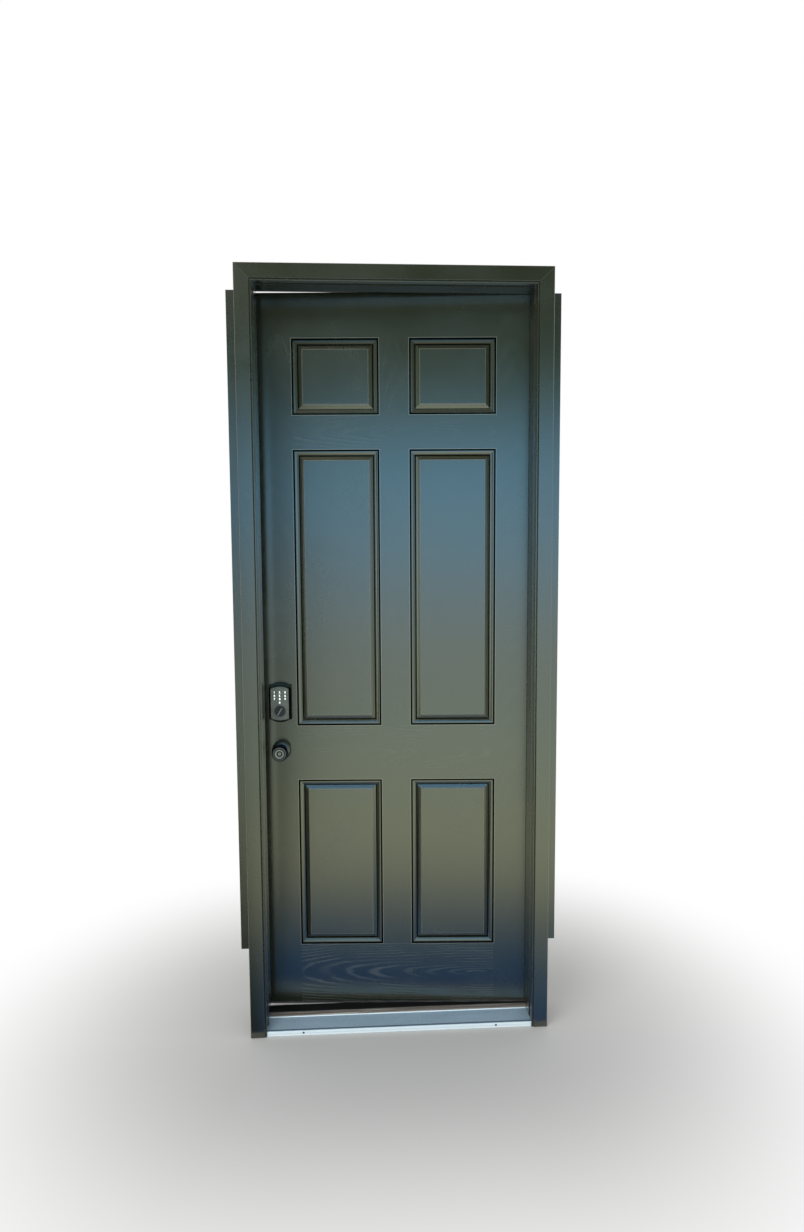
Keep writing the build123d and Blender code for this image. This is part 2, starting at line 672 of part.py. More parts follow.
def casing_outline():
    """Half-section of the casing as (width from its outer edge, height off the jamb)."""
    bead_start = CASING_FLAT + CASING_QUIRK
    bead_top = CASING_THICK - CASING_BEAD_DROP
    bead_r = (CASING_WIDTH - bead_start) / 2
    quirk = (CASING_FLAT + CASING_QUIRK / 2, CASING_THICK - CASING_QUIRK_DEPTH)
    return {"flat": [(CASING_WIDTH, 0), (0, 0), (0, CASING_THICK - CASING_EASE),
                     (CASING_EASE, CASING_THICK), (CASING_FLAT - CASING_EASE / 2, CASING_THICK),
                     (CASING_FLAT, CASING_THICK - CASING_EASE / 2), quirk,
                     (bead_start, bead_top - bead_r)],
            "bead_top": (bead_start + bead_r, bead_top),
            "bead_end": (CASING_WIDTH, bead_top - bead_r)}


def casing_face(place):
    """The casing's section as a face; place turns a (width, height) pair into a 3-D point."""
    outline = casing_outline()
    flat = Polyline(*[place(*point) for point in outline["flat"]])
    bead = ThreePointArc(place(*outline["flat"][-1]), place(*outline["bead_top"]),
                         place(*outline["bead_end"]))
    inner_edge = Line(place(*outline["bead_end"]), place(*outline["flat"][0]))
    return make_face([flat, bead, inner_edge])


def mitre(side):
    """The plane of one mitre, through the inner corner, facing the head casing."""
    return Plane(origin=(side * CASING_IN_X, 0, CASING_IN_Z), z_dir=(-side, 0, 1))


def casing_leg(side):
    """The upright casing at one side, mitred at its top."""
    face = casing_face(lambda width, height: (side * (CASING_OUT_X - width), -height, 0))
    leg = extrude(face, CASING_TOP, dir=(0, 0, 1))
    return split(leg, bisect_by=mitre(side), keep=Keep.BOTTOM)


def head_casing():
    """The casing over the door, mitred at both ends."""
    face = casing_face(lambda width, height: (-CASING_OUT_X, -height, CASING_TOP - width))
    head = extrude(face, 2 * CASING_OUT_X, dir=(1, 0, 0))
    for side in (-1, 1):
        head = split(head, bisect_by=mitre(side), keep=Keep.TOP)
    return head


def side_board(side):
    """The flat board behind the casing's outer edge, against the jamb's outside."""
    x = (side * JAMB_X, side * (CASING_OUT_X + BOARD_SHOW))
    return block((min(x), max(x)), (0, BOARD_THICK), (BOARD_BOTTOM, BOARD_TOP))


def seal_points(edge, face):
    """Section of a seal's bulb beside its barb: (distance across the rabbet, y)."""
    ease = (face - STOP_WIDTH) / 2
    return [(edge[0], STOP_WIDTH), (edge[1], STOP_WIDTH), (edge[1], face - ease),
            (edge[1] + ease, face), (edge[0] - ease, face), (edge[0], face - ease)]


def side_seal(side):
    """The seal in a side jamb's kerf, pressed to the thickness it has when the leaf is shut."""
    kerf_out = RABBET_X - KERF_INSET - SEAL_CLEARANCE
    kerf_in = RABBET_X - KERF_INSET - KERF_WIDTH + SEAL_CLEARANCE
    face = LEAF_FRONT - SEAL_CLEARANCE
    top = HEAD_RABBET_Z - SEAL_EDGE
    bulb = seal_points((RABBET_X - SEAL_EDGE, STOP_X + SEAL_EDGE), face)
    strip = prism_z([(side * x, y) for x, y in bulb], (CAP_TOP + SEAL_CLEARANCE, top))
    barb = (side * kerf_in, side * kerf_out)
    strip += block((min(barb), max(barb)), (STOP_WIDTH - BARB_DEPTH, STOP_WIDTH),
                   (CAP_TOP + SEAL_CLEARANCE, top - RABBET_DEPTH))
    return strip


def head_seal():
    """The seal in the head jamb's kerf, between the two side seals."""
    kerf_out = HEAD_RABBET_Z - KERF_INSET - SEAL_CLEARANCE
    kerf_in = HEAD_RABBET_Z - KERF_INSET - KERF_WIDTH + SEAL_CLEARANCE
    face = LEAF_FRONT - SEAL_CLEARANCE
    half = STOP_X
    bulb = seal_points((HEAD_RABBET_Z - SEAL_EDGE, HEAD_STOP_Z + SEAL_EDGE), face)
    strip = prism_x(side_line([(y, z) for z, y in bulb]), (-half, half))
    strip += block((-half, half), (STOP_WIDTH - BARB_DEPTH, STOP_WIDTH), (kerf_in, kerf_out))
    return strip


# Sill

def between_jambs(shape):
    """Cut a sill piece to fit round the feet of the two side jambs."""
    for side in (-1, 1):
        x = (side * STOP_X, side * (RABBET_X + RABBET_DEPTH))
        shape -= block((min(x), max(x)), (0, STOP_WIDTH), (-OVERCUT, LEAF_BOTTOM))
        x = (side * RABBET_X, side * (RABBET_X + RABBET_DEPTH))
        shape -= block((min(x), max(x)), (0, JAMB_DEPTH + OVERCUT), (-OVERCUT, LEAF_BOTTOM))
        x = (side * CASING_IN_X, side * (RABBET_X + RABBET_DEPTH))
        shape -= block((min(x), max(x)), (-SILL_NOSE_DEPTH - OVERCUT, 0), (-OVERCUT, LEAF_BOTTOM))
    return shape


def deck_underside():
    """The (y, z) points where the metal deck lies on the sill's core, front to back."""
    slope = (SLOPE_END - SLOPE_START) / (LIP_Y + SILL_NOSE_DEPTH - SILL_METAL_THICK)
    inner_front = -SILL_NOSE_DEPTH + SILL_METAL_THICK
    wall = LIP_Y + SILL_METAL_THICK
    return [(inner_front, 0), (inner_front, NOSE_HEIGHT - SILL_METAL_THICK / 2),
            (inner_front + NOSE_EASE, SLOPE_START - SILL_METAL_THICK),
            (wall, SLOPE_END - SILL_METAL_THICK + slope * SILL_METAL_THICK), (wall, CHANNEL_FLOOR),
            (CHANNEL_BACK, CHANNEL_FLOOR)]


def sill_deck():
    """The aluminium deck: front nose, sloping tread, lip, and channel for the cap."""
    floor = CHANNEL_FLOOR + SILL_METAL_THICK
    top = [(CHANNEL_BACK, CHANNEL_LIP), (CHANNEL_BACK - SILL_METAL_THICK, CHANNEL_LIP),
           (CHANNEL_BACK - SILL_METAL_THICK, floor), (LIP_Y + LIP_WIDTH, floor),
           (LIP_Y + LIP_WIDTH, LIP_TOP), (LIP_Y + LIP_EASE, LIP_TOP), (LIP_Y, SLOPE_END),
           (-SILL_NOSE_DEPTH + SILL_METAL_THICK, SLOPE_START),
           (-SILL_NOSE_DEPTH, NOSE_HEIGHT), (-SILL_NOSE_DEPTH, 0)]
    deck = prism_x(side_line(deck_underside() + top), (-RABBET_X, RABBET_X))
    for hole in nose_holes() + cap_screws(SCREW_FIT):
        deck -= hole
    return between_jambs(deck)


def sill_core():
    """The composite core under the deck, with the rear rail that stops the cap."""
    rear = [(CHANNEL_BACK, CHANNEL_LIP), (JAMB_DEPTH, CHANNEL_LIP), (JAMB_DEPTH, 0)]
    core = prism_x(side_line(deck_underside() + rear), (-RABBET_X, RABBET_X))
    for hole in nose_screws(SCREW_FIT) + cap_screws(SCREW_FIT):
        core -= hole
    return between_jambs(core)


def sill_cap():
    """The adjustable cap that the leaf closes on, with its kerf line near the front."""
    low = CHANNEL_FLOOR + SILL_METAL_THICK
    kerf = CAP_FRONT + CAP_KERF_FROM_EDGE
    points = [(CAP_FRONT, low), (CAP_FRONT, CAP_TOP - CAP_EASE), (CAP_FRONT + CAP_EASE, CAP_TOP),
              (kerf, CAP_TOP), (kerf, CAP_TOP - CAP_KERF_DEPTH),
              (kerf + CAP_KERF_WIDTH, CAP_TOP - CAP_KERF_DEPTH), (kerf + CAP_KERF_WIDTH, CAP_TOP),
              (CAP_BACK - CAP_EASE, CAP_TOP), (CAP_BACK, CAP_TOP - CAP_EASE), (CAP_BACK, low)]
    cap = prism_x(side_line(points), (-RABBET_X, RABBET_X))
    for hole in cap_screws(SCREW_FIT):
        cap -= hole
    return between_jambs(cap)


def cap_screws(fit=0.0):
    """The upright screws that set the height of the cap, or with a fit their holes."""
    screw = Rot(0, 90, 0) * screw_x(0, 0, 0, CAP_SCREW_LENGTH, 1, fit)
    return [Pos((index - (CAP_SCREWS - 1) / 2) * CAP_SCREW_SPACING, CAP_SCREW_Y, CAP_TOP) * screw
            for index in range(CAP_SCREWS)]


def nose_holes():
    """The two round holes in the front of the nose."""
    through = (-SILL_NOSE_DEPTH - OVERCUT, -SILL_NOSE_DEPTH + SILL_METAL_THICK)
    return [rod_y(NOSE_HOLE_R, x, through, NOSE_SCREW_Z) for x in (-NOSE_SCREW_X, NOSE_SCREW_X)]


def nose_screws(fit=0.0):
    """The screws set back in the nose's two holes, or with a fit their holes."""
    front = -SILL_NOSE_DEPTH + NOSE_SCREW_SET_BACK
    back = -SILL_NOSE_DEPTH + SILL_METAL_THICK
    screws = []
    for x in (-NOSE_SCREW_X, NOSE_SCREW_X):
        head = rod_y(NOSE_HOLE_R - SCREW_FIT, x, (front, back), NOSE_SCREW_Z)
        shank = rod_y(SCREW_R + fit, x, (front, front + HINGE_SCREW_LENGTH), NOSE_SCREW_Z)
        screws.append(head + shank)
    return screws


# Latch, upper bolt and their cases, on the closed leaf

def faceplate_screws(fit=0.0):
    """The screws of the two faceplates in the leaf's edge, or with a fit their holes."""
    return [screw_x(-LEAF_X, LEAF_MID, z + dz, HINGE_SCREW_LENGTH, 1, fit)
            for z in (KNOB_HEIGHT, DEADBOLT_HEIGHT)
            for dz in (-FACEPLATE_SCREW_OFFSET, FACEPLATE_SCREW_OFFSET)]


def bolt_case(z):
    """A faceplate and the tube behind it, bored for the bolt and across for its drive."""
    half_width, half_height = FACEPLATE_WIDTH / 2, FACEPLATE_HEIGHT / 2
    case = block((-LEAF_X, -LEAF_X + FACEPLATE_THICK),
                 (LEAF_MID - half_width, LEAF_MID + half_width),
                 (z - half_height, z + half_height))
    case += rod_x(CASE_R, (-LEAF_X, -LEAF_X + CASE_LENGTH), LEAF_MID, z)
    case -= rod_x(CASE_BORE_R, (-LEAF_X - OVERCUT, -LEAF_X + CASE_BORE_LENGTH), LEAF_MID, z)
    case -= rod_y(HUB_HOLE_R, LOCK_X, (LEAF_MID - CASE_R, LEAF_MID + CASE_R), z)
    for hole in faceplate_screws(SCREW_FIT):
        case -= hole
    return case


def latch_bolt():
    """The sprung latch, out at rest, with its slanted side towards the street."""
    x_front = -LEAF_X - LATCH_THROW
    x_step = x_front + LATCH_LENGTH - LATCH_TAIL
    bolt = rod_x(BOLT_R, (x_front, x_step), LEAF_MID, KNOB_HEIGHT)
    bolt += rod_x(LATCH_TAIL_R, (x_step, x_front + LATCH_LENGTH), LEAF_MID, KNOB_HEIGHT)
    outside, beside = x_front - OVERCUT, LEAF_MID - BOLT_R - OVERCUT
    slant = [(outside, LEAF_MID + BOLT_R - LATCH_NOSE), (-LEAF_X - LATCH_REST, beside),
             (outside, beside)]
    return bolt - prism_z(slant, (KNOB_HEIGHT - BOLT_R - OVERCUT, KNOB_HEIGHT + BOLT_R + OVERCUT))


def deadbolt():
    """The upper bolt, drawn back at rest, its front flush with the faceplate."""
    return rod_x(BOLT_R, (-LEAF_X, -LEAF_X + DEADBOLT_LENGTH), LEAF_MID, DEADBOLT_HEIGHT)


def spindle():
    """The square bar that joins the two knobs, with the hub that draws the latch."""
    reach = NECK_START + SOCKET_DEPTH
    span = (LEAF_FRONT - reach, LEAF_BACK + reach)
    half = SPINDLE_SIDE / 2
    bar = block((LOCK_X - half, LOCK_X + half), span, (KNOB_HEIGHT - half, KNOB_HEIGHT + half))
    hub = (LEAF_MID - SPINDLE_HUB_LENGTH / 2, LEAF_MID + SPINDLE_HUB_LENGTH / 2)
    return bar + rod_y(SPINDLE_HUB_R, LOCK_X, hub, KNOB_HEIGHT)


# Knobs and roses, each drawn outwards along Y from a leaf face at zero

def knob_outline():
    """Half outline of a round knob: neck, flare, rounded rim, ring and dished front."""
    bore = PLUG_R + RUNNING_FIT
    ring_in = KNOB_RING_R - KNOB_RING_WIDTH
    front = KNOB_REACH - KNOB_RING_HEIGHT
    back = Polyline((0, NECK_START), (NECK_R, NECK_START), (NECK_R, NECK_END))
    flare = Spline((NECK_R, NECK_END), (KNOB_R, KNOB_WIDEST), tangents=((0, 1), (0, 1)))
    rim = TangentArc((KNOB_R, KNOB_WIDEST), (KNOB_FACE_R, front), tangent=(0, 1))
    face = Polyline((KNOB_FACE_R, front), (KNOB_RING_R, front), (KNOB_RING_R, KNOB_REACH),
                    (ring_in, KNOB_REACH), (ring_in, front - KNOB_DISH), (bore, front - KNOB_DISH),
                    (bore, KNOB_REACH - PLUG_LENGTH), (0, KNOB_REACH - PLUG_LENGTH),
                    (0, NECK_START))
    return [back, flare, rim, face]


def rose_outline():
    """Half outline of a domed rose with its hole for the knob's neck."""
    hole = NECK_R + SHAFT_GAP
    dome = TangentArc((ROSE_FLAT_R, ROSE_THICK), (ROSE_R, ROSE_LIP), tangent=(1, 0))
    rest = Polyline((ROSE_R, ROSE_LIP), (ROSE_R, 0), (hole, 0), (hole, ROSE_THICK),
                    (ROSE_FLAT_R, ROSE_THICK))
    return [dome, rest]


def outward(outline, side, z):
    """Turn a half outline on one face of the leaf; side is -1 for the street, 1 for the room."""
    solid = revolve(make_face(outline), Axis.Y)
    if side < 0:
        return Pos(LOCK_X, LEAF_FRONT, z) * mirror(solid, Plane.XZ)
    return Pos(LOCK_X, LEAF_BACK, z) * solid


def rose(side):
    """A rose; the street-side one has two posts that take the mounting screws."""
    solid = outward(rose_outline(), side, KNOB_HEIGHT)
    if side < 0:
        solid += mounting_posts(KNOB_HEIGHT)
    for hole in rose_screws(SCREW_FIT):
        solid -= hole
    return solid


def mounting_posts(z):
    """The two posts behind an outside trim that take the long screws."""
    post = (LEAF_FRONT, LEAF_FRONT + POST_REACH)
    return [rod_y(POST_R, LOCK_X, post, z + dz) for dz in (-POST_OFFSET, POST_OFFSET)]


def mounting_screws(z, y_head, fit):
    """Two long screws from the room side, heads at y_head, into the posts of the outside trim."""
    tip = LEAF_FRONT + POST_REACH - POST_SCREW_ENTRY
    screws = []
    for dz in (-POST_OFFSET, POST_OFFSET):
        head = rod_y(POST_SCREW_HEAD_R + fit, LOCK_X, (y_head - POST_SCREW_HEAD_HEIGHT, y_head),
                     z + dz)
        screws.append(head + rod_y(POST_SCREW_R + fit, LOCK_X, (tip, y_head), z + dz))
    return screws


def rose_screws(fit=0.0):
    """The two screws that pull the roses together, or with a fit their holes."""
    return mounting_screws(KNOB_HEIGHT, LEAF_BACK + ROSE_THICK, fit)


def lock_screws(fit=0.0):
    """The two screws that pull the keypad lock to the plate inside, or with a fit their holes."""
    return mounting_screws(DEADBOLT_HEIGHT, LEAF_BACK + COVER_WALL, fit)


def outside_knob():
    """The street-side knob, bored for its key plug and socketed for the spindle."""
    return outward(knob_outline(), -1, KNOB_HEIGHT) - spindle()


def inside_knob():
    """The room-side knob, bored for its turn button."""
    return outward(knob_outline(), 1, KNOB_HEIGHT) - spindle()


def plug_span(side):
    """The y values of a plug in a knob, its face level with the dished front."""
    face = KNOB_REACH - KNOB_RING_HEIGHT - KNOB_DISH
    edge = LEAF_FRONT if side < 0 else LEAF_BACK
    ends = (edge + side * face, edge + side * (KNOB_REACH - PLUG_LENGTH + SHAFT_GAP))
    return (min(ends), max(ends))


def key_plug():
    """The key plug in the street-side knob, with its upright keyway."""
    span = plug_span(-1)
    plug = rod_y(PLUG_R, LOCK_X, span, KNOB_HEIGHT)
    half = KEYWAY_WIDTH / 2
    return plug - block((LOCK_X - half, LOCK_X + half), (span[0] - OVERCUT, span[0] + KEYWAY_DEPTH),
                        (KNOB_HEIGHT - KEYWAY_HEIGHT / 2, KNOB_HEIGHT + KEYWAY_HEIGHT / 2))


def lock_button():
    """The turn button in the room-side knob, with a small tab for the fingers."""
    span = plug_span(1)
    button = rod_y(PLUG_R, LOCK_X, span, KNOB_HEIGHT)
    half = BUTTON_TAB_THICK / 2
    return button + block((LOCK_X - half, LOCK_X + half), (span[1] - OVERCUT, span[1] + BUTTON_TAB),
                          (KNOB_HEIGHT - BUTTON_TAB_HEIGHT / 2, KNOB_HEIGHT + BUTTON_TAB_HEIGHT / 2))


# Keypad lock

def arched_face(width, height, shoulder, arch, y):
    """A plate outline with an arched top and bottom between square shoulders, at one y."""
    w, h, inner = width / 2, height / 2 - arch, width / 2 - shoulder
    top, bottom = height / 2, -height / 2
    edges = [Line((-w, y, -h), (-w, y, h)), Line((w, y, h), (w, y, -h)),
             ThreePointArc((-inner, y, h), (0, y, top), (inner, y, h)),
             ThreePointArc((-inner, y, -h), (0, y, bottom), (inner, y, -h))]
    if shoulder > 0:
        edges += [Line((-w, y, h), (-inner, y, h)), Line((inner, y, h), (w, y, h)),
                  Line((w, y, -h), (inner, y, -h)), Line((-inner, y, -h), (-w, y, -h))]
    return make_face(edges)


def keypad_centre():
    """The middle of the keypad plate, which hangs mostly above the bolt's height."""
    return (LOCK_X, 0, DEADBOLT_HEIGHT + KEYPAD_ABOVE_LOCK)


def turn_hole(radius, y):
    """A round hole on the upper bolt's line."""
    return rod_y(radius, LOCK_X, y, DEADBOLT_HEIGHT)


def keypad_housing():
    """The cast housing outside: a shouldered plate and a narrower raised body."""
    plate_face = LEAF_FRONT - KEYPAD_BASE
    body_face = plate_face - KEYPAD_FACE_RISE
    plate = extrude(arched_face(KEYPAD_WIDTH, KEYPAD_HEIGHT, KEYPAD_SHOULDER, KEYPAD_ARCH,
                                LEAF_FRONT), KEYPAD_BASE, dir=(0, -1, 0))
    body = extrude(arched_face(KEYPAD_FACE_WIDTH, KEYPAD_FACE_HEIGHT, 0, KEYPAD_FACE_ARCH,
                               plate_face), KEYPAD_FACE_RISE, dir=(0, -1, 0))
    housing = Pos(*keypad_centre()) * (plate + body)
    housing -= keypad_recess(PANEL_MARGIN - RUNNING_FIT)
    housing -= turn_hole(TURN_R + TURN_RECESS_GAP, (body_face - OVERCUT, body_face + TURN_DEPTH))
    housing -= turn_hole(TURN_HUB_R + SHAFT_GAP, (body_face - OVERCUT, LEAF_FRONT + OVERCUT))
    housing += mounting_posts(DEADBOLT_HEIGHT)
    for hole in lock_screws(SCREW_FIT):
        housing -= hole
    return housing


def keypad_recess(margin):
    """The shape of the touch panel above the turn piece, less a margin all round."""
    body_face = LEAF_FRONT - KEYPAD_BASE - KEYPAD_FACE_RISE
    shape = extrude(arched_face(KEYPAD_FACE_WIDTH - 2 * margin, KEYPAD_FACE_HEIGHT - 2 * margin, 0,
                                KEYPAD_FACE_ARCH, body_face), 2 * PANEL_INSET, dir=(0, 1, 0))
    shape = Pos(*keypad_centre()) * shape
    shape -= turn_hole(TURN_R + TURN_RECESS_GAP + margin, (body_face - OVERCUT, body_face + TURN_DEPTH))
    low = DEADBOLT_HEIGHT + TURN_R + margin
    return shape & block((LOCK_X - KEYPAD_WIDTH, LOCK_X + KEYPAD_WIDTH),
                         (body_face - OVERCUT, LEAF_FRONT), (low - TURN_R / 2, low + KEYPAD_HEIGHT))


def keypad_panel():
    """The touch panel that lies in the housing's front."""
    return keypad_recess(PANEL_MARGIN)


def outside_turn():
    """The round turn piece outside, with a slanting grip bar and a hub behind."""
    body_face = LEAF_FRONT - KEYPAD_BASE - KEYPAD_FACE_RISE
    front, back = body_face - TURN_PROUD, body_face + TURN_DEPTH - SHAFT_GAP
    turn = turn_hole(TURN_R, (front, back)) + turn_hole(TURN_HUB_R, (back, LEAF_FRONT))
    grip = Box(TURN_GRIP_WIDTH, TURN_GRIP_HEIGHT, TURN_GRIP_LENGTH)
    grip = fillet(grip.edges().filter_by(Axis.Y), TURN_GRIP_CORNER_R)
    lean = Pos(LOCK_X, front - TURN_GRIP_HEIGHT / 2, DEADBOLT_HEIGHT) * Rot(0, TURN_GRIP_LEAN, 0)
    return turn + lean * grip - tailpiece()


def tailpiece():
    """The flat bar that carries a turn from either side to the bolt."""
    half_width, half_thick = TAILPIECE_WIDTH / 2, TAILPIECE_THICK / 2
    span = (LEAF_FRONT - SOCKET_DEPTH, LEAF_BACK + SOCKET_DEPTH)
    return block((LOCK_X - half_thick, LOCK_X + half_thick), span,
                 (DEADBOLT_HEIGHT - half_width, DEADBOLT_HEIGHT + half_width))


def inside_cover():
    """The hollow battery cover inside, open to the leaf, with a hole for the thumb turn."""
    depth = (LEAF_BACK, LEAF_BACK + COVER_DEPTH)
    z = DEADBOLT_HEIGHT + COVER_ABOVE_LOCK
    half_w, half_h = COVER_WIDTH / 2, COVER_HEIGHT / 2
    shell = block((LOCK_X - half_w, LOCK_X + half_w), depth, (z - half_h, z + half_h))
    shell = fillet(shell.edges().filter_by(Axis.Y), COVER_CORNER_R)
    shell = fillet(shell.faces().sort_by(Axis.Y)[-1].edges(), COVER_EDGE_R)
    inside = block((LOCK_X - half_w + COVER_WALL, LOCK_X + half_w - COVER_WALL),
                   (depth[0], depth[1] - COVER_WALL), (z - half_h + COVER_WALL,
                                                      z + half_h - COVER_WALL))
    inside = fillet(inside.edges().filter_by(Axis.Y), COVER_CORNER_R - COVER_WALL)
    inside -= turn_hole(THUMB_SHAFT_R + SHAFT_GAP + COVER_WALL, (depth[0] + COVER_WALL, depth[1]))
    return shell - inside - turn_hole(THUMB_SHAFT_R + SHAFT_GAP, (depth[0], depth[1] + OVERCUT))


def inside_plate():
    """The steel plate inside that the two long screws clamp to the leaf."""
    half_w = COVER_WIDTH / 2 - COVER_WALL - SHAFT_GAP
    half_h = COVER_HEIGHT / 2 - COVER_WALL - SHAFT_GAP
    z = DEADBOLT_HEIGHT + COVER_ABOVE_LOCK
    plate = block((LOCK_X - half_w, LOCK_X + half_w), (LEAF_BACK, LEAF_BACK + COVER_WALL),
                  (z - half_h, z + half_h))
    plate = fillet(plate.edges().filter_by(Axis.Y), COVER_CORNER_R - COVER_WALL)
    plate -= turn_hole(THUMB_SHAFT_R + SHAFT_GAP, (LEAF_BACK - OVERCUT, LEAF_BACK + COVER_WALL + OVERCUT))
    for hole in lock_screws(SCREW_FIT):
        plate -= hole
    return plate


def thumb_turn():
    """The thumb turn inside: shaft, disc and upright grip."""
    disc = LEAF_BACK + COVER_DEPTH + SHAFT_GAP
    turn = turn_hole(THUMB_SHAFT_R, (LEAF_BACK + COVER_WALL, disc))
    turn += turn_hole(THUMB_R, (disc, disc + THUMB_DISC))
    grip = Box(THUMB_GRIP_WIDTH, THUMB_GRIP_HEIGHT, THUMB_GRIP_LENGTH)
    grip = fillet(grip.edges().filter_by(Axis.X), THUMB_GRIP_CORNER_R)
    turn += Pos(LOCK_X, disc + THUMB_DISC + THUMB_GRIP_HEIGHT / 2, DEADBOLT_HEIGHT) * grip
    return turn - tailpiece()


def build_frame():
    """Write every sub-part that stays with the wall."""
    write("latch_strike", strike(KNOB_HEIGHT, lipped=True))
    write("deadbolt_strike", strike(DEADBOLT_HEIGHT, lipped=False))
    write("strike_screws", group(strike_screws()))
    write("lock_jamb", lock_jamb())
    write("hinge_jamb", hinge_jamb())
    write("head_jamb", head_jamb())
    write("lock_casing", casing_leg(-1))
    write("hinge_casing", casing_leg(1))
    write("head_casing", head_casing())
    write("lock_side_board", side_board(-1))
    write("hinge_side_board", side_board(1))
    write("lock_side_seal", side_seal(-1))
    write("hinge_side_seal", side_seal(1))
    write("head_seal", head_seal())
    write("sill_deck", sill_deck())
    write("sill_core", sill_core())
    write("sill_cap", sill_cap())
    write("sill_cap_screws", group(cap_screws()))
    write("sill_nose_screws", group(nose_screws()))
    for index, z in enumerate(hinge_heights()):
        write(f"jamb_hinge_half_{index + 1}", hinge_half(index, on_leaf=False))
    write("hinge_pins", group([hinge_pin(z) for z in hinge_heights()]))
    write("jamb_hinge_screws", group(hinge_screws(on_leaf=False)))


def build_leaf():
    """Write every sub-part of the leaf and its locks, turned to where the leaf stands."""
    skin = moulded_skin()
    write("exterior_skin", ajar(Pos(0, LEAF_FRONT, 0) * skin))
    write("interior_skin", ajar(interior_skin(skin)))
    for node, shape in leaf_core().items():
        write(node, ajar(shape))
    write("door_sweep", ajar(door_sweep()))
    for index in range(HINGES):
        write(f"door_hinge_half_{index + 1}", ajar(hinge_half(index, on_leaf=True)))
    write("door_hinge_screws", group(hinge_screws(on_leaf=True), ajar))
    write("latch_case", ajar(bolt_case(KNOB_HEIGHT)))
    write("deadbolt_case", ajar(bolt_case(DEADBOLT_HEIGHT)))
    write("faceplate_screws", group(faceplate_screws(), ajar))
    write("outside_rose", ajar(rose(-1)))
    write("inside_rose", ajar(rose(1)))
    write("keypad_housing", ajar(keypad_housing()))
    write("keypad_panel", ajar(keypad_panel()))
    write("inside_lock_plate", ajar(inside_plate()))
    write("inside_lock_cover", ajar(inside_cover()))
    write("lock_mounting_screws", group(rose_screws() + lock_screws(), ajar))


def build_moving_hardware():
    """Write the knobs, bolts and turns, turned to where the leaf stands."""
    write("outside_knob", ajar(outside_knob()))
    write("inside_knob", ajar(inside_knob()))
    write("knob_spindle", ajar(spindle()))
    write("key_plug", ajar(key_plug()))
    write("lock_button", ajar(lock_button()))
    write("latch_bolt", ajar(latch_bolt()))
    write("deadbolt", ajar(deadbolt()))
    write("outside_turn", ajar(outside_turn()))
    write("thumb_turn", ajar(thumb_turn()))
    write("tailpiece", ajar(tailpiece()))


os.makedirs("parts", exist_ok=True)
build_frame()
build_leaf()
build_moving_hardware()
print("doorway", 2 * STOP_X, "wide,", HEAD_STOP_Z, "high; frame", 2 * JAMB_X, "by", HEAD_TOP)
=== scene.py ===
# %% [markdown]
# # A panelled front door in its frame
# The door, its frame, hinges and locks come from the CAD model, already at real size and in
# place. This notebook gives them their finishes, adds the few pieces that are looks alone, and
# sets up a plain studio with a camera where the photograph's camera stood.

# %% Load the frame
import bpy
import math
import numpy as np
from mathutils import Matrix, Vector


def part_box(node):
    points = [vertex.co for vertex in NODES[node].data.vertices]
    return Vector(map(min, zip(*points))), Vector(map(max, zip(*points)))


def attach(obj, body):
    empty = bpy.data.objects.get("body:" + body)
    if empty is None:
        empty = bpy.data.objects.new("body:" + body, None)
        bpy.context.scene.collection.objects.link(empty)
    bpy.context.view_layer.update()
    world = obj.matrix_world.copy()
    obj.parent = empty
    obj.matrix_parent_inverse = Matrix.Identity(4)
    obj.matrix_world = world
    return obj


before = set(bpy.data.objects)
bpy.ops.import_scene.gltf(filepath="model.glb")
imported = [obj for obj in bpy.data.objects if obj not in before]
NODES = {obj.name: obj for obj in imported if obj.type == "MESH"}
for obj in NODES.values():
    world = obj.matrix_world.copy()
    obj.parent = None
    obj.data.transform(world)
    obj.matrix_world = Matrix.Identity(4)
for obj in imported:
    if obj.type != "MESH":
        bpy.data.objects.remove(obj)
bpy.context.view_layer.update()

# %% [markdown]
# ## The camera
# The photograph was taken by hand a little left of the door's middle, at eye level, and slightly
# tilted down. The camera is set from the place, the turn and the lens that fit the photo's edges.
# Its right, up and back directions become the three columns of its rotation.

# %% Camera
PHOTO_WIDTH = 804
PHOTO_HEIGHT = 1232
LENS_PIXELS = 780.2
LENS_CENTRE = (401.1, 600.2)
SENSOR = 36.0
CAMERA_PLACE = (-0.126, -2.530, 1.684)
CAMERA_TURN = (-3.13, -4.97, -0.34)


def camera_matrix(place, yaw, pitch, roll):
    """Columns are right, up and back: yaw about Z, pitch above the horizon, roll, in degrees."""
    y, p, r = (math.radians(a) for a in (yaw, pitch, roll))
    ahead = Vector((-math.sin(y) * math.cos(p), math.cos(y) * math.cos(p), math.sin(p)))
    level = Vector((math.cos(y), math.sin(y), 0.0))
    above = level.cross(ahead)
    right = level * math.cos(r) + above * math.sin(r)
    up = above * math.cos(r) - level * math.sin(r)
    turn = Matrix((right, up, -ahead)).transposed().to_4x4()
    return Matrix.Translation(place) @ turn


def add_object(name, data):
    """A new object in the scene."""
    thing = bpy.data.objects.new(name, data)
    bpy.context.scene.collection.objects.link(thing)
    return thing


camera_data = bpy.data.cameras.new("camera")
camera_data.sensor_width = SENSOR
camera_data.lens = LENS_PIXELS * SENSOR / PHOTO_HEIGHT
camera_data.shift_x = (PHOTO_WIDTH / 2 - LENS_CENTRE[0]) / PHOTO_HEIGHT
camera_data.shift_y = (LENS_CENTRE[1] - PHOTO_HEIGHT / 2) / PHOTO_HEIGHT
camera = add_object("camera", camera_data)
camera.matrix_world = camera_matrix(CAMERA_PLACE, *CAMERA_TURN)
bpy.context.scene.camera = camera
bpy.context.scene.view_settings.view_transform = "Standard"
print("lens", round(camera_data.lens, 2), "mm")

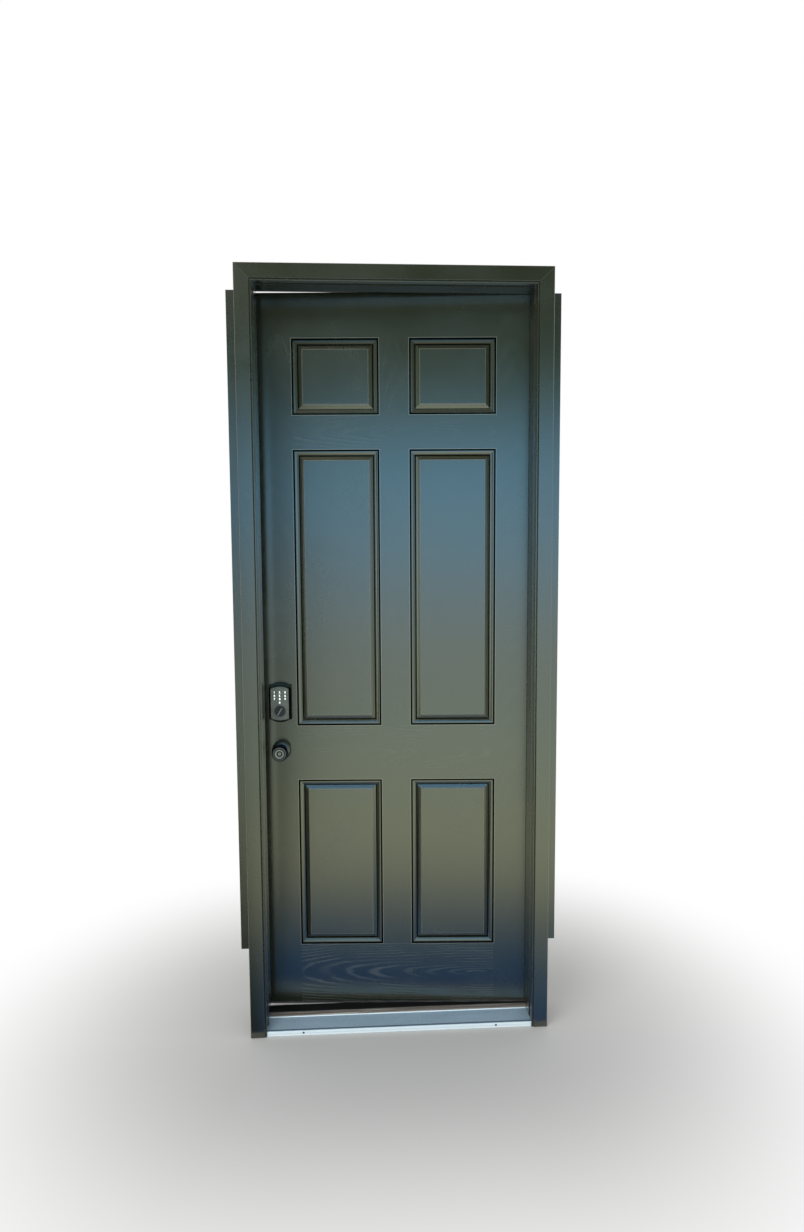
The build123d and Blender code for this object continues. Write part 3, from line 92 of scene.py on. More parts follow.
# %% [markdown]
# ## Small helpers for shader nodes
# A material is a graph of nodes. These helpers add one node, set its plain values and return the
# socket that the next node reads, so that a formula reads nearly as it would on paper.

# %% Node helpers
def put(tree, kind, **settings):
    """Add one node; settings are its own properties, such as operation or data_type."""
    node = tree.nodes.new(kind)
    for name, value in settings.items():
        setattr(node, name, value)
    return node


def feed(tree, socket, value):
    """Link a socket to an input, or set a plain number or vector on it."""
    if isinstance(value, bpy.types.NodeSocket):
        tree.links.new(value, socket)
    else:
        socket.default_value = value


def maths(tree, operation, *values):
    """One Math node and its result."""
    node = put(tree, "ShaderNodeMath", operation=operation)
    for socket, value in zip(node.inputs, values):
        feed(tree, socket, value)
    return node.outputs[0]


def times(tree, first, second):
    """The product of two numbers."""
    return maths(tree, "MULTIPLY", first, second)


def times_plus(tree, first, second, third):
    """A product and a sum: first x second + third."""
    return maths(tree, "MULTIPLY_ADD", first, second, third)


def minus(tree, first, second):
    """The difference of two numbers."""
    return maths(tree, "SUBTRACT", first, second)


def rest_of(tree, value):
    """What a value leaves of 1: 1 - value."""
    return minus(tree, 1.0, value)


def parts(tree, vector):
    """The three parts of a vector, as sockets."""
    node = put(tree, "ShaderNodeSeparateXYZ")
    feed(tree, node.inputs[0], vector)
    return node.outputs


def joined(tree, *values):
    """Two or three numbers as one vector."""
    node = put(tree, "ShaderNodeCombineXYZ")
    for socket, value in zip(node.inputs, values):
        feed(tree, socket, value)
    return node.outputs[0]


def between(tree, value, low, high):
    """1 where the value lies between low and high, else 0."""
    above = maths(tree, "GREATER_THAN", value, low)
    return times(tree, above, maths(tree, "LESS_THAN", value, high))


def rescale(tree, value, low, high, to_low=0.0, to_high=1.0, kind="SMOOTHSTEP"):
    """A ramp: to_low at low and below, to_high at high and above; kind gives its curve."""
    node = put(tree, "ShaderNodeMapRange", interpolation_type=kind)
    for socket, number in zip(node.inputs, (value, low, high, to_low, to_high)):
        feed(tree, socket, number)
    return node.outputs[0]


def blend(tree, factor, first, second):
    """Mix two colours by a factor."""
    node = put(tree, "ShaderNodeMix", data_type="RGBA")
    feed(tree, node.inputs["Factor"], factor)
    feed(tree, node.inputs[6], first)
    feed(tree, node.inputs[7], second)
    return node.outputs[2]


def noise(tree, vector, scale, detail=3.0, w=None, roughness=0.5):
    """A Noise Texture's value; w picks another slice of the same noise."""
    node = put(tree, "ShaderNodeTexNoise", noise_dimensions="3D" if w is None else "4D")
    feed(tree, node.inputs["Vector"], vector)
    feed(tree, node.inputs["Scale"], scale)
    node.inputs["Detail"].default_value = detail
    node.inputs["Roughness"].default_value = roughness
    if w is not None:
        feed(tree, node.inputs["W"], w)
    return node.outputs["Fac"]


def stretch(tree, vector, amounts):
    """Multiply a vector's three parts, to draw a pattern out along one of them."""
    node = put(tree, "ShaderNodeVectorMath", operation="MULTIPLY")
    feed(tree, node.inputs[0], vector)
    feed(tree, node.inputs[1], amounts)
    return node.outputs[0]


def new_group(name, inputs, outputs):
    """A shader node group with typed inputs (name, type, default) and outputs (name, type)."""
    tree = bpy.data.node_groups.new(name, "ShaderNodeTree")
    for label, kind, default in inputs:
        socket = tree.interface.new_socket(name=label, in_out="INPUT", socket_type=kind)
        if default is not None:
            socket.default_value = default
    for label, kind in outputs:
        tree.interface.new_socket(name=label, in_out="OUTPUT", socket_type=kind)
    source = put(tree, "NodeGroupInput")
    sink = put(tree, "NodeGroupOutput")
    return tree, source.outputs, sink.inputs


def use_group(tree, group, **values):
    """Place a group in a material; keyword names are input names with _ for a space."""
    node = put(tree, "ShaderNodeGroup", node_tree=group)
    for name, value in values.items():
        feed(tree, node.inputs[name.replace("_", " ")], value)
    return node.outputs


# %% [markdown]
# ## Rounded edges, painted highlights and wear
# The CAD edges are sharp, but paint and castings always have a small round on their edges, and
# that round is what catches the light. Cycles' Bevel node gives the normal that a rounded edge
# would have. Where that normal leaves the flat one is where an edge is, so the same node also
# gives a mask of the edges. The paints and the sill blend a pale painted highlight along it, and
# the metals use it in patches for rubbed edges.

# %% Edge groups
NUMBER = "NodeSocketFloat"
VECTOR = "NodeSocketVector"
EDGE_COSINES = (0.995, 0.86)


def make_edge_group():
    """Normal of a rounded edge, a mask that is 1 on the edge, and the same mask in patches.

    The mask goes by the cosine between the flat and the rounded normal.
    """
    tree, source, sink = new_group(
        "rounded edge",
        [("Radius", NUMBER, 0.001), ("Vector", VECTOR, None), ("Wear Size", NUMBER, 60.0)],
        [("Normal", VECTOR), ("Edge", NUMBER), ("Wear", NUMBER)])
    rounded = put(tree, "ShaderNodeBevel", samples=6)
    feed(tree, rounded.inputs["Radius"], source["Radius"])
    flat = put(tree, "ShaderNodeNewGeometry")
    same = put(tree, "ShaderNodeVectorMath", operation="DOT_PRODUCT")
    feed(tree, same.inputs[0], rounded.outputs[0])
    feed(tree, same.inputs[1], flat.outputs["Normal"])
    edge = rescale(tree, same.outputs["Value"], *EDGE_COSINES)
    patches = noise(tree, source["Vector"], source["Wear Size"], 5.0)
    broken = rescale(tree, patches, 0.5, 0.62)
    feed(tree, sink["Normal"], rounded.outputs[0])
    feed(tree, sink["Edge"], edge)
    feed(tree, sink["Wear"], times(tree, edge, broken))
    return tree


def make_dust_group():
    """Soft patches of dust and a sprinkle of fine specks, each from 0 to 1."""
    tree, source, sink = new_group("dust", [("Vector", VECTOR, None)],
                                   [("Film", NUMBER), ("Specks", NUMBER)])
    cloud = noise(tree, source["Vector"], 3.2, 6.0, roughness=0.6)
    feed(tree, sink["Film"], rescale(tree, cloud, 0.35, 0.75))
    fine = noise(tree, source["Vector"], 420.0, 2.0)
    feed(tree, sink["Specks"], rescale(tree, fine, 0.66, 0.74))
    return tree


EDGE = make_edge_group()
DUST = make_dust_group()
print("edge and dust groups ready")

# %% [markdown]
# ## The leaf's own coordinates
# The leaf stands ajar, so its grain must be measured along the leaf and not along the room. The
# hinge pin's place comes from the CAD pins. A Mapping node turns every point back by the ajar
# angle about that pin, which gives across, through and up on the shut leaf.

# %% Leaf coordinates
pin_low, pin_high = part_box("hinge_pins")
PIN = ((pin_low.x + pin_high.x) / 2, (pin_low.y + pin_high.y) / 2)
AJAR = math.radians(3.0)


def leaf_vector(tree):
    """Object coordinates turned back about the hinge pin: p' = R (p - pin) + pin."""
    place = put(tree, "ShaderNodeTexCoord").outputs["Object"]
    mapping = put(tree, "ShaderNodeMapping", vector_type="POINT")
    feed(tree, mapping.inputs["Vector"], place)
    mapping.inputs["Rotation"].default_value = (0.0, 0.0, AJAR)
    shift_x = PIN[0] - (PIN[0] * math.cos(AJAR) - PIN[1] * math.sin(AJAR))
    shift_y = PIN[1] - (PIN[0] * math.sin(AJAR) + PIN[1] * math.cos(AJAR))
    mapping.inputs["Location"].default_value = (shift_x, shift_y, 0.0)
    return mapping.outputs[0]


def object_vector(tree):
    """Plain object coordinates, for what doesn't stand ajar."""
    return put(tree, "ShaderNodeTexCoord").outputs["Object"]


def turned(points, angle):
    """Points (N x 3) turned about the hinge pin by an angle: p' = R (p - pin) + pin.

    AJAR turns the leaf shut, and -AJAR turns it from there to where it stands.
    """
    result = np.array(points, dtype=float)
    dx, dy = result[:, 0] - PIN[0], result[:, 1] - PIN[1]
    result[:, 0] = PIN[0] + dx * math.cos(angle) - dy * math.sin(angle)
    result[:, 1] = PIN[1] + dx * math.sin(angle) + dy * math.cos(angle)
    return result


def corner_points(mesh):
    """The corners of a mesh, N x 3."""
    points = np.empty(len(mesh.vertices) * 3)
    mesh.vertices.foreach_get("co", points)
    return points.reshape(-1, 3)


def shut_node(name):
    """The corners of one of the leaf's CAD nodes, as they lie on the shut leaf."""
    return turned(corner_points(NODES[name].data), AJAR)


def shut_middle(name):
    """Middle of a node's box on the shut leaf, as across and up."""
    points = shut_node(name)
    middle = (points.min(axis=0) + points.max(axis=0)) / 2
    return float(middle[0]), float(middle[2])


KNOB_AXIS = shut_middle("outside_rose")
TURN_AXIS = shut_middle("outside_turn")
print("pin at", [round(v, 4) for v in PIN], "knob axis", KNOB_AXIS, "turn axis", TURN_AXIS)

# %% [markdown]
# ## Wood grain pressed into the skins
# The skins are pressed to look like oak boards: stiles, mullion and panels run upright, and the
# rails run across between the stiles. Each board has long growth rings that close into a pointed
# arch, and thousands of short pores along the grain. The group first works out, at each point,
# which board it is on, then the distance along and across that board, and draws rings and pores
# from those two numbers.

# %% Grain group
LEAF_FOOT = 0.0345
RAIL_BANDS = ((0.0, 0.2112), (0.8008, 0.9926), (1.924, 2.0392), (2.2855, 2.432))
PANEL_BANDS = ((0.2112, 0.8008), (0.9926, 1.924), (2.0392, 2.2855))
STILE_LINE = 0.337
MULLION_HALF = 0.0508
LEAF_EDGE = 0.454
PANEL_MIDDLE = (STILE_LINE + MULLION_HALF) / 2
RAIL_KNOTS = (0.268, -0.22, 0.10, -0.12)
RAIL_STRENGTHS = (0.85, 0.40, 0.30, 0.12)
UPRIGHT_STRENGTH = 0.13
RING_STRETCH = 9.0
RING_RATE = 680.0
RING_BEND = 0.030
BEND_SHARE = 0.35
FLOW_RATES = (2.6, 12.0)
PORE_RATES = (26.0, 900.0, 500.0)
RAIL_SEED, STILE_SEED, MULLION_SEED, ROW_SEED = 3.1, 11.0, 5.0, 1.7
ROW_SHIFT = -0.62


def rail_place(tree, x, z):
    """On the rails: a mask, the way along from the knot, the way across, seed and strength."""
    inner = maths(tree, "LESS_THAN", maths(tree, "ABSOLUTE", x), STILE_LINE)
    level, across, knot, seed, strength = 0.0, 0.0, 0.0, 0.0, UPRIGHT_STRENGTH
    rails = zip(RAIL_BANDS, RAIL_KNOTS, RAIL_STRENGTHS)
    for index, ((low, high), centre, depth) in enumerate(rails):
        on = times(tree, between(tree, z, low, high), inner)
        level = maths(tree, "ADD", level, on)
        across = times_plus(tree, on, minus(tree, z, (low + high) / 2), across)
        knot = times_plus(tree, on, centre, knot)
        seed = times_plus(tree, on, RAIL_SEED * (index + 1), seed)
        strength = times_plus(tree, on, depth - UPRIGHT_STRENGTH, strength)
    return level, minus(tree, x, knot), across, seed, strength


def upright_place(tree, x, z):
    """On stiles, mullion and panels: the way along, the way across and the seed."""
    side = maths(tree, "ABSOLUTE", x)
    on_stile = maths(tree, "GREATER_THAN", side, STILE_LINE)
    on_mullion = maths(tree, "LESS_THAN", side, MULLION_HALF)
    stile_middle = STILE_LINE + (LEAF_EDGE - STILE_LINE) / 2
    middle = times_plus(tree, on_stile, stile_middle - PANEL_MIDDLE, PANEL_MIDDLE)
    middle = times_plus(tree, on_mullion, -PANEL_MIDDLE, middle)
    seed = times_plus(tree, on_stile, STILE_SEED, maths(tree, "SIGN", x))
    seed = times_plus(tree, on_mullion, MULLION_SEED, seed)
    row = 0.0
    for index, (low, high) in enumerate(PANEL_BANDS):
        row = times_plus(tree, between(tree, z, low, high), index + 1.0, row)
    row = times(tree, row, rest_of(tree, on_stile))
    along = times_plus(tree, row, ROW_SHIFT, z)
    return along, minus(tree, side, middle), times_plus(tree, row, ROW_SEED, seed)


def choose(tree, factor, first, second):
    """The first number where the factor is 0, the second where it is 1."""
    node = put(tree, "ShaderNodeMix", data_type="FLOAT")
    feed(tree, node.inputs["Factor"], factor)
    feed(tree, node.inputs[2], first)
    feed(tree, node.inputs[3], second)
    return node.outputs[0]


def make_grain_group():
    """Rings r = |(along / 9, across)| bent by noise, and pores drawn out along the grain.

    Each board has its own seed, which picks its slice of the noise.
    """
    tree, source, sink = new_group("pressed oak grain", [("Vector", VECTOR, None)],
                                   [("Rings", NUMBER), ("Pores", NUMBER)])
    split = parts(tree, source["Vector"])
    z = minus(tree, split[2], LEAF_FOOT)
    level, *on_rail, strength = rail_place(tree, split[0], z)
    on_upright = upright_place(tree, split[0], z)
    along, across, seed = (choose(tree, level, upright, rail)
                           for upright, rail in zip(on_upright, on_rail))

    flow = joined(tree, times(tree, along, FLOW_RATES[0]), times(tree, across, FLOW_RATES[1]))
    bend = noise(tree, flow, 1.0, 3.0, seed)
    wander = times(tree, minus(tree, bend, 0.5), RING_BEND)
    bent = maths(tree, "ADD", across, times(tree, wander, BEND_SHARE))
    long = maths(tree, "POWER", maths(tree, "DIVIDE", along, RING_STRETCH), 2.0)
    ellipse = maths(tree, "SQRT", maths(tree, "ADD", long, maths(tree, "POWER", bent, 2.0)))
    rings = maths(tree, "ADD", ellipse, wander)
    wave = rescale(tree, maths(tree, "SINE", times(tree, rings, RING_RATE)), 0.0, 1.0)

    rated = zip((along, rings, across), PORE_RATES)
    thread = joined(tree, *(times(tree, value, rate) for value, rate in rated))
    pores = rescale(tree, noise(tree, thread, 1.0, 2.0, seed), 0.52, 0.70)
    patchy = rescale(tree, noise(tree, flow, 1.6, 2.0, seed), 0.35, 0.65, 0.1, 1.0)
    feed(tree, sink["Rings"], times(tree, times(tree, wave, patchy), strength))
    feed(tree, sink["Pores"], pores)
    return tree


GRAIN = make_grain_group()
print("grain group has", len(GRAIN.nodes), "nodes")

# %% [markdown]
# ## Lines round the panels
# Round each panel runs a narrow quirk, then an ovolo, then a groove. The quirk and the groove are
# painted black as painted shade, and the arrises between them are painted paler as painted
# highlights. The two highest panels differ: their foot has no black groove, and the ovolo at their
# top is darkened with painted shade. At each point the group works out how far in it is from the
# nearest side of its panel, the same number that sets the moulding's section, and picks those
# lines by that distance. A line is given as its middle, half its width and its soft edge.

# %% Panel line group
# The quirk, groove and top-ovolo lines place painted shade, and the two arris lines place painted
# highlights.
QUIRK = (0.0022, 0.0024, 0.0008)
GROOVE = (0.0196, 0.0010, 0.0012)
SHADED_OVOLO = (0.0120, 0.0070, 0.0020)
OVOLO_SHADE_DEPTH = 0.62
OUTER_ARRIS = (-0.0014, 0.0010)
FIELD_ARRIS = (0.0342, 0.0009)
CORNER = 0.004
FOOT_FADE = 0.01
BEVEL_STEPS = ((0.0202, 0.0272, -0.606), (0.0272, 0.0277, -0.964), (0.0277, 0.0338, 1.57))


def line(tree, value, centre, half, soft=0.0007):
    """1 on a line: |value - centre| below half, falling to 0 over the soft width."""
    off = maths(tree, "ABSOLUTE", minus(tree, value, centre))
    return rescale(tree, off, half + soft, half)


def straight(tree, value, low, high):
    """A plain ramp: 0 at low and below, 1 at high and above."""
    return rescale(tree, value, low, high, kind="LINEAR")


def make_panel_group():
    """Lines by within = min(distance to the upright sides, distance to the level sides).

    That distance is negative off the panels. Relief, in millimetres, is a sum of ramps that
    evens the bevel and the shelf above it into one soft slope.
    """
    tree, source, sink = new_group("panel lines", [("Vector", VECTOR, None)],
                                   [("Painted Shade", NUMBER), ("Arris Highlight", NUMBER), ("Relief", NUMBER)])
    split = parts(tree, source["Vector"])
    side = maths(tree, "ABSOLUTE", split[0])
    z = minus(tree, split[2], LEAF_FOOT)
    upright = maths(tree, "MINIMUM", minus(tree, side, MULLION_HALF),
                    minus(tree, STILE_LINE, side))
    level = -1.0
    for low, high in PANEL_BANDS:
        inside = maths(tree, "MINIMUM", minus(tree, z, low), minus(tree, high, z))
        level = maths(tree, "MAXIMUM", level, inside)
    within = maths(tree, "MINIMUM", upright, level)
    low, high = PANEL_BANDS[-1]
    from_foot = minus(tree, within, minus(tree, z, low))
    from_top = minus(tree, within, minus(tree, high, z))
    # The foot of the highest panels is left without the groove's painted shade, and the ovolo at
    # their top gets painted shade.
    unshaded_foot = times(tree, straight(tree, from_foot, -CORNER, 0.0),
                  straight(tree, z, low - FOOT_FADE, low))
    groove = times(tree, line(tree, within, *GROOVE), rest_of(tree, unshaded_foot))
    shaded_ovolo = times(tree, line(tree, within, *SHADED_OVOLO), straight(tree, from_top, -CORNER, 0.0))
    painted_shade = maths(tree, "MAXIMUM", groove, times(tree, shaded_ovolo, OVOLO_SHADE_DEPTH))
    painted_shade = maths(tree, "MAXIMUM", line(tree, within, *QUIRK), painted_shade)
    # The arris lines are where the paint gets its painted highlights.
    arris_highlight = maths(tree, "MAXIMUM", line(tree, within, *OUTER_ARRIS),
                  line(tree, within, *FIELD_ARRIS))
    fall = 0.0
    for low, high, rise in BEVEL_STEPS:
        fall = times_plus(tree, straight(tree, within, low, high), rise, fall)
    feed(tree, sink["Relief"], fall)
    feed(tree, sink["Painted Shade"], painted_shade)
    feed(tree, sink["Arris Highlight"], arris_highlight)
    return tree


PANEL_LINES = make_panel_group()
print("panel line group has", len(PANEL_LINES.nodes), "nodes")

# %% [markdown]
# ## Paint
# The leaf and the frame are painted the same near-black green with a satin sheen. The Principled
# shader's coat gives the even film of paint its soft reflection. Under it the grain moves the
# normal, and a little dust makes the sheen uneven. The frame is planed wood, so it shows fine
# brush strokes along each board in place of oak grain.

# %% Paint materials
PAINT = (0.0140, 0.0160, 0.0070, 1.0)
PAINT_DUST = (0.036, 0.041, 0.026, 1.0)
# The next three colours are painted light: a pale painted highlight for edges and arrises, one for
# the grain's rings, and black painted shade for hollows, joints and the cap under the leaf.
PAINT_HIGHLIGHT = (0.120, 0.125, 0.100, 1.0)
RING_HIGHLIGHT = (0.110, 0.120, 0.115, 1.0)
SHADE_BLACK = (0.004, 0.004, 0.003, 1.0)
SHEEN_TINT = (0.98, 1.0, 0.84, 1.0)
MILLIMETRE = 0.001
GRAIN_DEPTH = 0.00009
STROKE_DEPTH = 0.00012


def new_material(name):
    """An empty material with an output; returns it, its tree and its Principled shader."""
    material = bpy.data.materials.new(name)
    material.use_nodes = True
    tree = material.node_tree
    tree.nodes.clear()
    shader = put(tree, "ShaderNodeBsdfPrincipled")
    tree.links.new(shader.outputs[0], put(tree, "ShaderNodeOutputMaterial").inputs[0])
    return material, tree, shader


def new_surface(name, leaf, radius, wear=60.0):
    """A new material and what it reads: its coordinates, its dust and its edges.

    Leaf says whether it swings, radius how round its edges are, wear how fine their patches are.
    """
    material, tree, shader = new_material(name)
    place = leaf_vector(tree) if leaf else object_vector(tree)
    dust = use_group(tree, DUST, Vector=place)
    edge = use_group(tree, EDGE, Vector=place, Radius=radius, Wear_Size=wear)
    return material, tree, shader, place, dust, edge


def bump(tree, height, distance, normal=None):
    """Turn a height from 0 to 1 into a normal; distance is its full depth in metres."""
    node = put(tree, "ShaderNodeBump")
    node.inputs["Strength"].default_value = 1.0
    node.inputs["Distance"].default_value = distance
    feed(tree, node.inputs["Height"], height)
    if normal is not None:
        feed(tree, node.inputs["Normal"], normal)
    return node.outputs[0]


def dress(tree, shader, colour, roughness, normal):
    """Feed a shader its colour, its roughness and its normal."""
    for name, value in (("Base Color", colour), ("Roughness", roughness), ("Normal", normal)):
        feed(tree, shader.inputs[name], value)


def grained_paint():
    """Satin paint over the pressed grain; hollows go matt black, arrises and rings pale."""
    material, tree, shader, place, dust, edge = new_surface("grained paint", True, 0.0010)
    grain = use_group(tree, GRAIN, Vector=place)
    lines = use_group(tree, PANEL_LINES, Vector=place)
    colour = blend(tree, times(tree, dust["Film"], 0.16), PAINT, PAINT_DUST)
    # The grain's rings are blended pale as a painted highlight on their ridges.
    colour = blend(tree, times(tree, grain["Rings"], 0.40), colour, RING_HIGHLIGHT)
    # Edges and arris lines are blended pale as a painted highlight.
    pale = maths(tree, "MAXIMUM", times(tree, edge["Edge"], 0.35),
                 times(tree, lines["Arris Highlight"], 0.9))
    colour = blend(tree, pale, colour, PAINT_HIGHLIGHT)
    # Quirk, groove and top ovolo are blended black as painted shade; metallic and no coat there
    # take their sheen away too.
    colour = blend(tree, lines["Painted Shade"], colour, SHADE_BLACK)
    uneven = times_plus(tree, dust["Film"], 0.08, 0.22)
    rough = times_plus(tree, grain["Rings"], 0.10, uneven)
    raised = times(tree, grain["Rings"], 0.60)
    height = times_plus(tree, grain["Pores"], -0.40, raised)
    sloped = bump(tree, lines["Relief"], MILLIMETRE, edge["Normal"])
    dress(tree, shader, colour, rough, bump(tree, height, GRAIN_DEPTH, sloped))
    feed(tree, shader.inputs["Metallic"], lines["Painted Shade"])
    feed(tree, shader.inputs["Coat Weight"], rest_of(tree, lines["Painted Shade"]))
    shader.inputs["Specular IOR Level"].default_value = 1.0
    shader.inputs["Specular Tint"].default_value = SHEEN_TINT
    shader.inputs["Coat Roughness"].default_value = 0.18
    return material


JOINT_WIDTHS = (0.0022, 0.0012)


def brushed_paint(name, stroke, joint=None, shine=1.0):
    """Satin paint on planed wood; stroke stretches the brush marks along the board.

    Where joint is given, a thin line at that distance from the middle is painted dark, a painted
    shadow where the casing stands proud of the board. Shine is the strength of the coat and the
    sheen; a lower shine is painted shade on the boards at the head.
    """
    material, tree, shader, place, dust, edge = new_surface(name, False, 0.0014, 35.0)
    colour = blend(tree, times(tree, dust["Film"], 0.25), PAINT, PAINT_DUST)
    # Edges are blended pale as a painted highlight.
    colour = blend(tree, times(tree, edge["Edge"], 0.45), colour, PAINT_HIGHLIGHT)
    if joint is None:
        shader.inputs["Coat Weight"].default_value = shine
    else:
        split = parts(tree, place)
        # The joint line is painted black as a painted shadow where the casing stands proud of the
        # board; metallic and no coat take its sheen away too.
        joint_shadow = line(tree, maths(tree, "ABSOLUTE", split[0]), joint, *JOINT_WIDTHS)
        colour = blend(tree, joint_shadow, colour, SHADE_BLACK)
        feed(tree, shader.inputs["Metallic"], joint_shadow)
        feed(tree, shader.inputs["Coat Weight"], rest_of(tree, joint_shadow))
    rough = times_plus(tree, dust["Film"], 0.10, 0.24)
    strokes = noise(tree, stretch(tree, place, stroke), 1.0, 3.0)
    dress(tree, shader, colour, rough, bump(tree, strokes, STROKE_DEPTH, edge["Normal"]))
    shader.inputs["Specular IOR Level"].default_value = shine
    shader.inputs["Specular Tint"].default_value = SHEEN_TINT
    shader.inputs["Coat Roughness"].default_value = 0.16
    return material


UPRIGHT_STROKE = (420.0, 420.0, 9.0)
LEVEL_STROKE = (9.0, 420.0, 420.0)
BOARD_JOINT = abs(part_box("lock_casing")[0].x) + JOINT_WIDTHS[0]
GRAINED = grained_paint()
UPRIGHT_PAINT = brushed_paint("brushed paint upright", UPRIGHT_STROKE)
# The two head boards are shaded copies of the paint: their lower shine is painted shade.
HEAD_CASING_SHADED_PAINT = brushed_paint("brushed paint level", LEVEL_STROKE, shine=0.75)
HEAD_SHADED_PAINT = brushed_paint("brushed paint under the head", LEVEL_STROKE, shine=0.15)
BOARD_PAINT = brushed_paint("brushed paint on the boards", UPRIGHT_STROKE, BOARD_JOINT)
print("paint ready")

# %% [markdown]
# ## Metal, seals and the sill
# Hardware is cast or stamped and then darkened, so it is a metal with a low, warm colour that
# has rubbed brighter on its edges. The sill's deck is bare aluminium, drawn through a die along
# its length, so its scratches and its stains run that way. The cap behind it is a composite.

# %% Metal and sill materials
METAL_MARKS = (180.0, 180.0, 180.0)
METAL_DEPTH = 0.00004
DRAWN_DEPTH = 0.00015


def metal(name, colour, worn, roughness, leaf=True):
    """A metal with fine marks all over and rubbed edges; leaf is False for what stays put."""
    material, tree, shader, place, dust, edge = new_surface(name, leaf, 0.0006, 240.0)
    marks = noise(tree, stretch(tree, place, METAL_MARKS), 1.0, 4.0)
    tone = blend(tree, times(tree, edge["Wear"], 0.7), colour, worn)
    rough = times_plus(tree, marks, 0.16, roughness - 0.08)
    rough = times_plus(tree, dust["Film"], 0.06, rough)
    dress(tree, shader, tone, rough, bump(tree, marks, METAL_DEPTH, edge["Normal"]))
    shader.inputs["Metallic"].default_value = 1.0
    return material


def rubbery(name, colour, pale, roughness, grain):
    """Vinyl, foam skin or composite: a dull body with paler dust and a fine drawn grain."""
    material, tree, shader, place, dust, edge = new_surface(name, False, 0.0006)
    marks = noise(tree, stretch(tree, place, grain), 1.0, 4.0)
    tone = blend(tree, rescale(tree, marks, 0.4, 0.7), colour, pale)
    tone = blend(tree, times(tree, dust["Film"], 0.3), tone, pale)
    rough = times_plus(tree, marks, 0.15, roughness)
    dress(tree, shader, tone, rough, bump(tree, marks, DRAWN_DEPTH, edge["Normal"]))
    return material


CAP_BROWN = (0.120, 0.100, 0.085, 1)
CAP_GREY = (0.260, 0.250, 0.235, 1)
CAP_CREAM = (0.62, 0.58, 0.50, 1)
UNDER_LEAF_SHADOW = (0.064, 0.070)


def sill_composite():
    """The cap: brown-grey, with fine drawn lines, and painted black under the leaf as a painted
    shadow.
    """
    name = "weathered composite"
    material, tree, shader, place, dust, edge = new_surface(name, False, 0.0006)
    marks = noise(tree, stretch(tree, place, (5.0, 420.0, 420.0)), 1.0, 4.0)
    tone = blend(tree, rescale(tree, marks, 0.40, 0.66), CAP_BROWN, CAP_GREY)
    streaks = noise(tree, stretch(tree, place, (3.0, 230.0, 230.0)), 1.0, 2.0, 4.0)
    tone = blend(tree, rescale(tree, streaks, 0.60, 0.68), tone, CAP_CREAM)
    split = parts(tree, place)
    # Behind a ragged line the cap is painted black: a painted shadow under the leaf.
    ragged = times_plus(tree, dust["Film"], 0.004, split[1])
    tone = blend(tree, rescale(tree, ragged, *UNDER_LEAF_SHADOW), tone, SHADE_BLACK)
    rough = times_plus(tree, marks, 0.15, 0.6)
    dress(tree, shader, tone, rough, bump(tree, marks, DRAWN_DEPTH, edge["Normal"]))
    shader.inputs["Specular IOR Level"].default_value = 0.25
    return material


DECK_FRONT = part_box("sill_deck")[0].y
DECK_NOSE = (DECK_FRONT + 0.0012, DECK_FRONT + 0.0004)
DECK_FOLD = (DECK_FRONT + 0.0062, 0.0026, 0.0010)
DECK_LIP = (0.0427, 0.0021, 0.0005)
NOSE_ROLL = (0.0082, 0.0007, 0.0008)
DECK_DEPTH = 0.00005
# The two blue-grey metal colours hold a painted reflection of the sky; the fold colour is painted
# shade; the nose, roll and edge colours are painted highlights.
CLEAN_METAL_SKY_BLUE = (0.38, 0.52, 0.64, 1)
STAINED_METAL_SKY_BLUE = (0.26, 0.36, 0.46, 1)
FOLD_SHADE = (0.07, 0.11, 0.15, 1)
NOSE_HIGHLIGHT = (0.80, 0.93, 0.98, 1)
ROLL_HIGHLIGHT_GREY = (0.45, 0.60, 0.68, 1)
EDGE_HIGHLIGHT = (0.85, 0.95, 1.0, 1)
PIT_DARK = (0.10, 0.12, 0.15, 1)
SPECK_PALE = (0.75, 0.8, 0.82, 1)


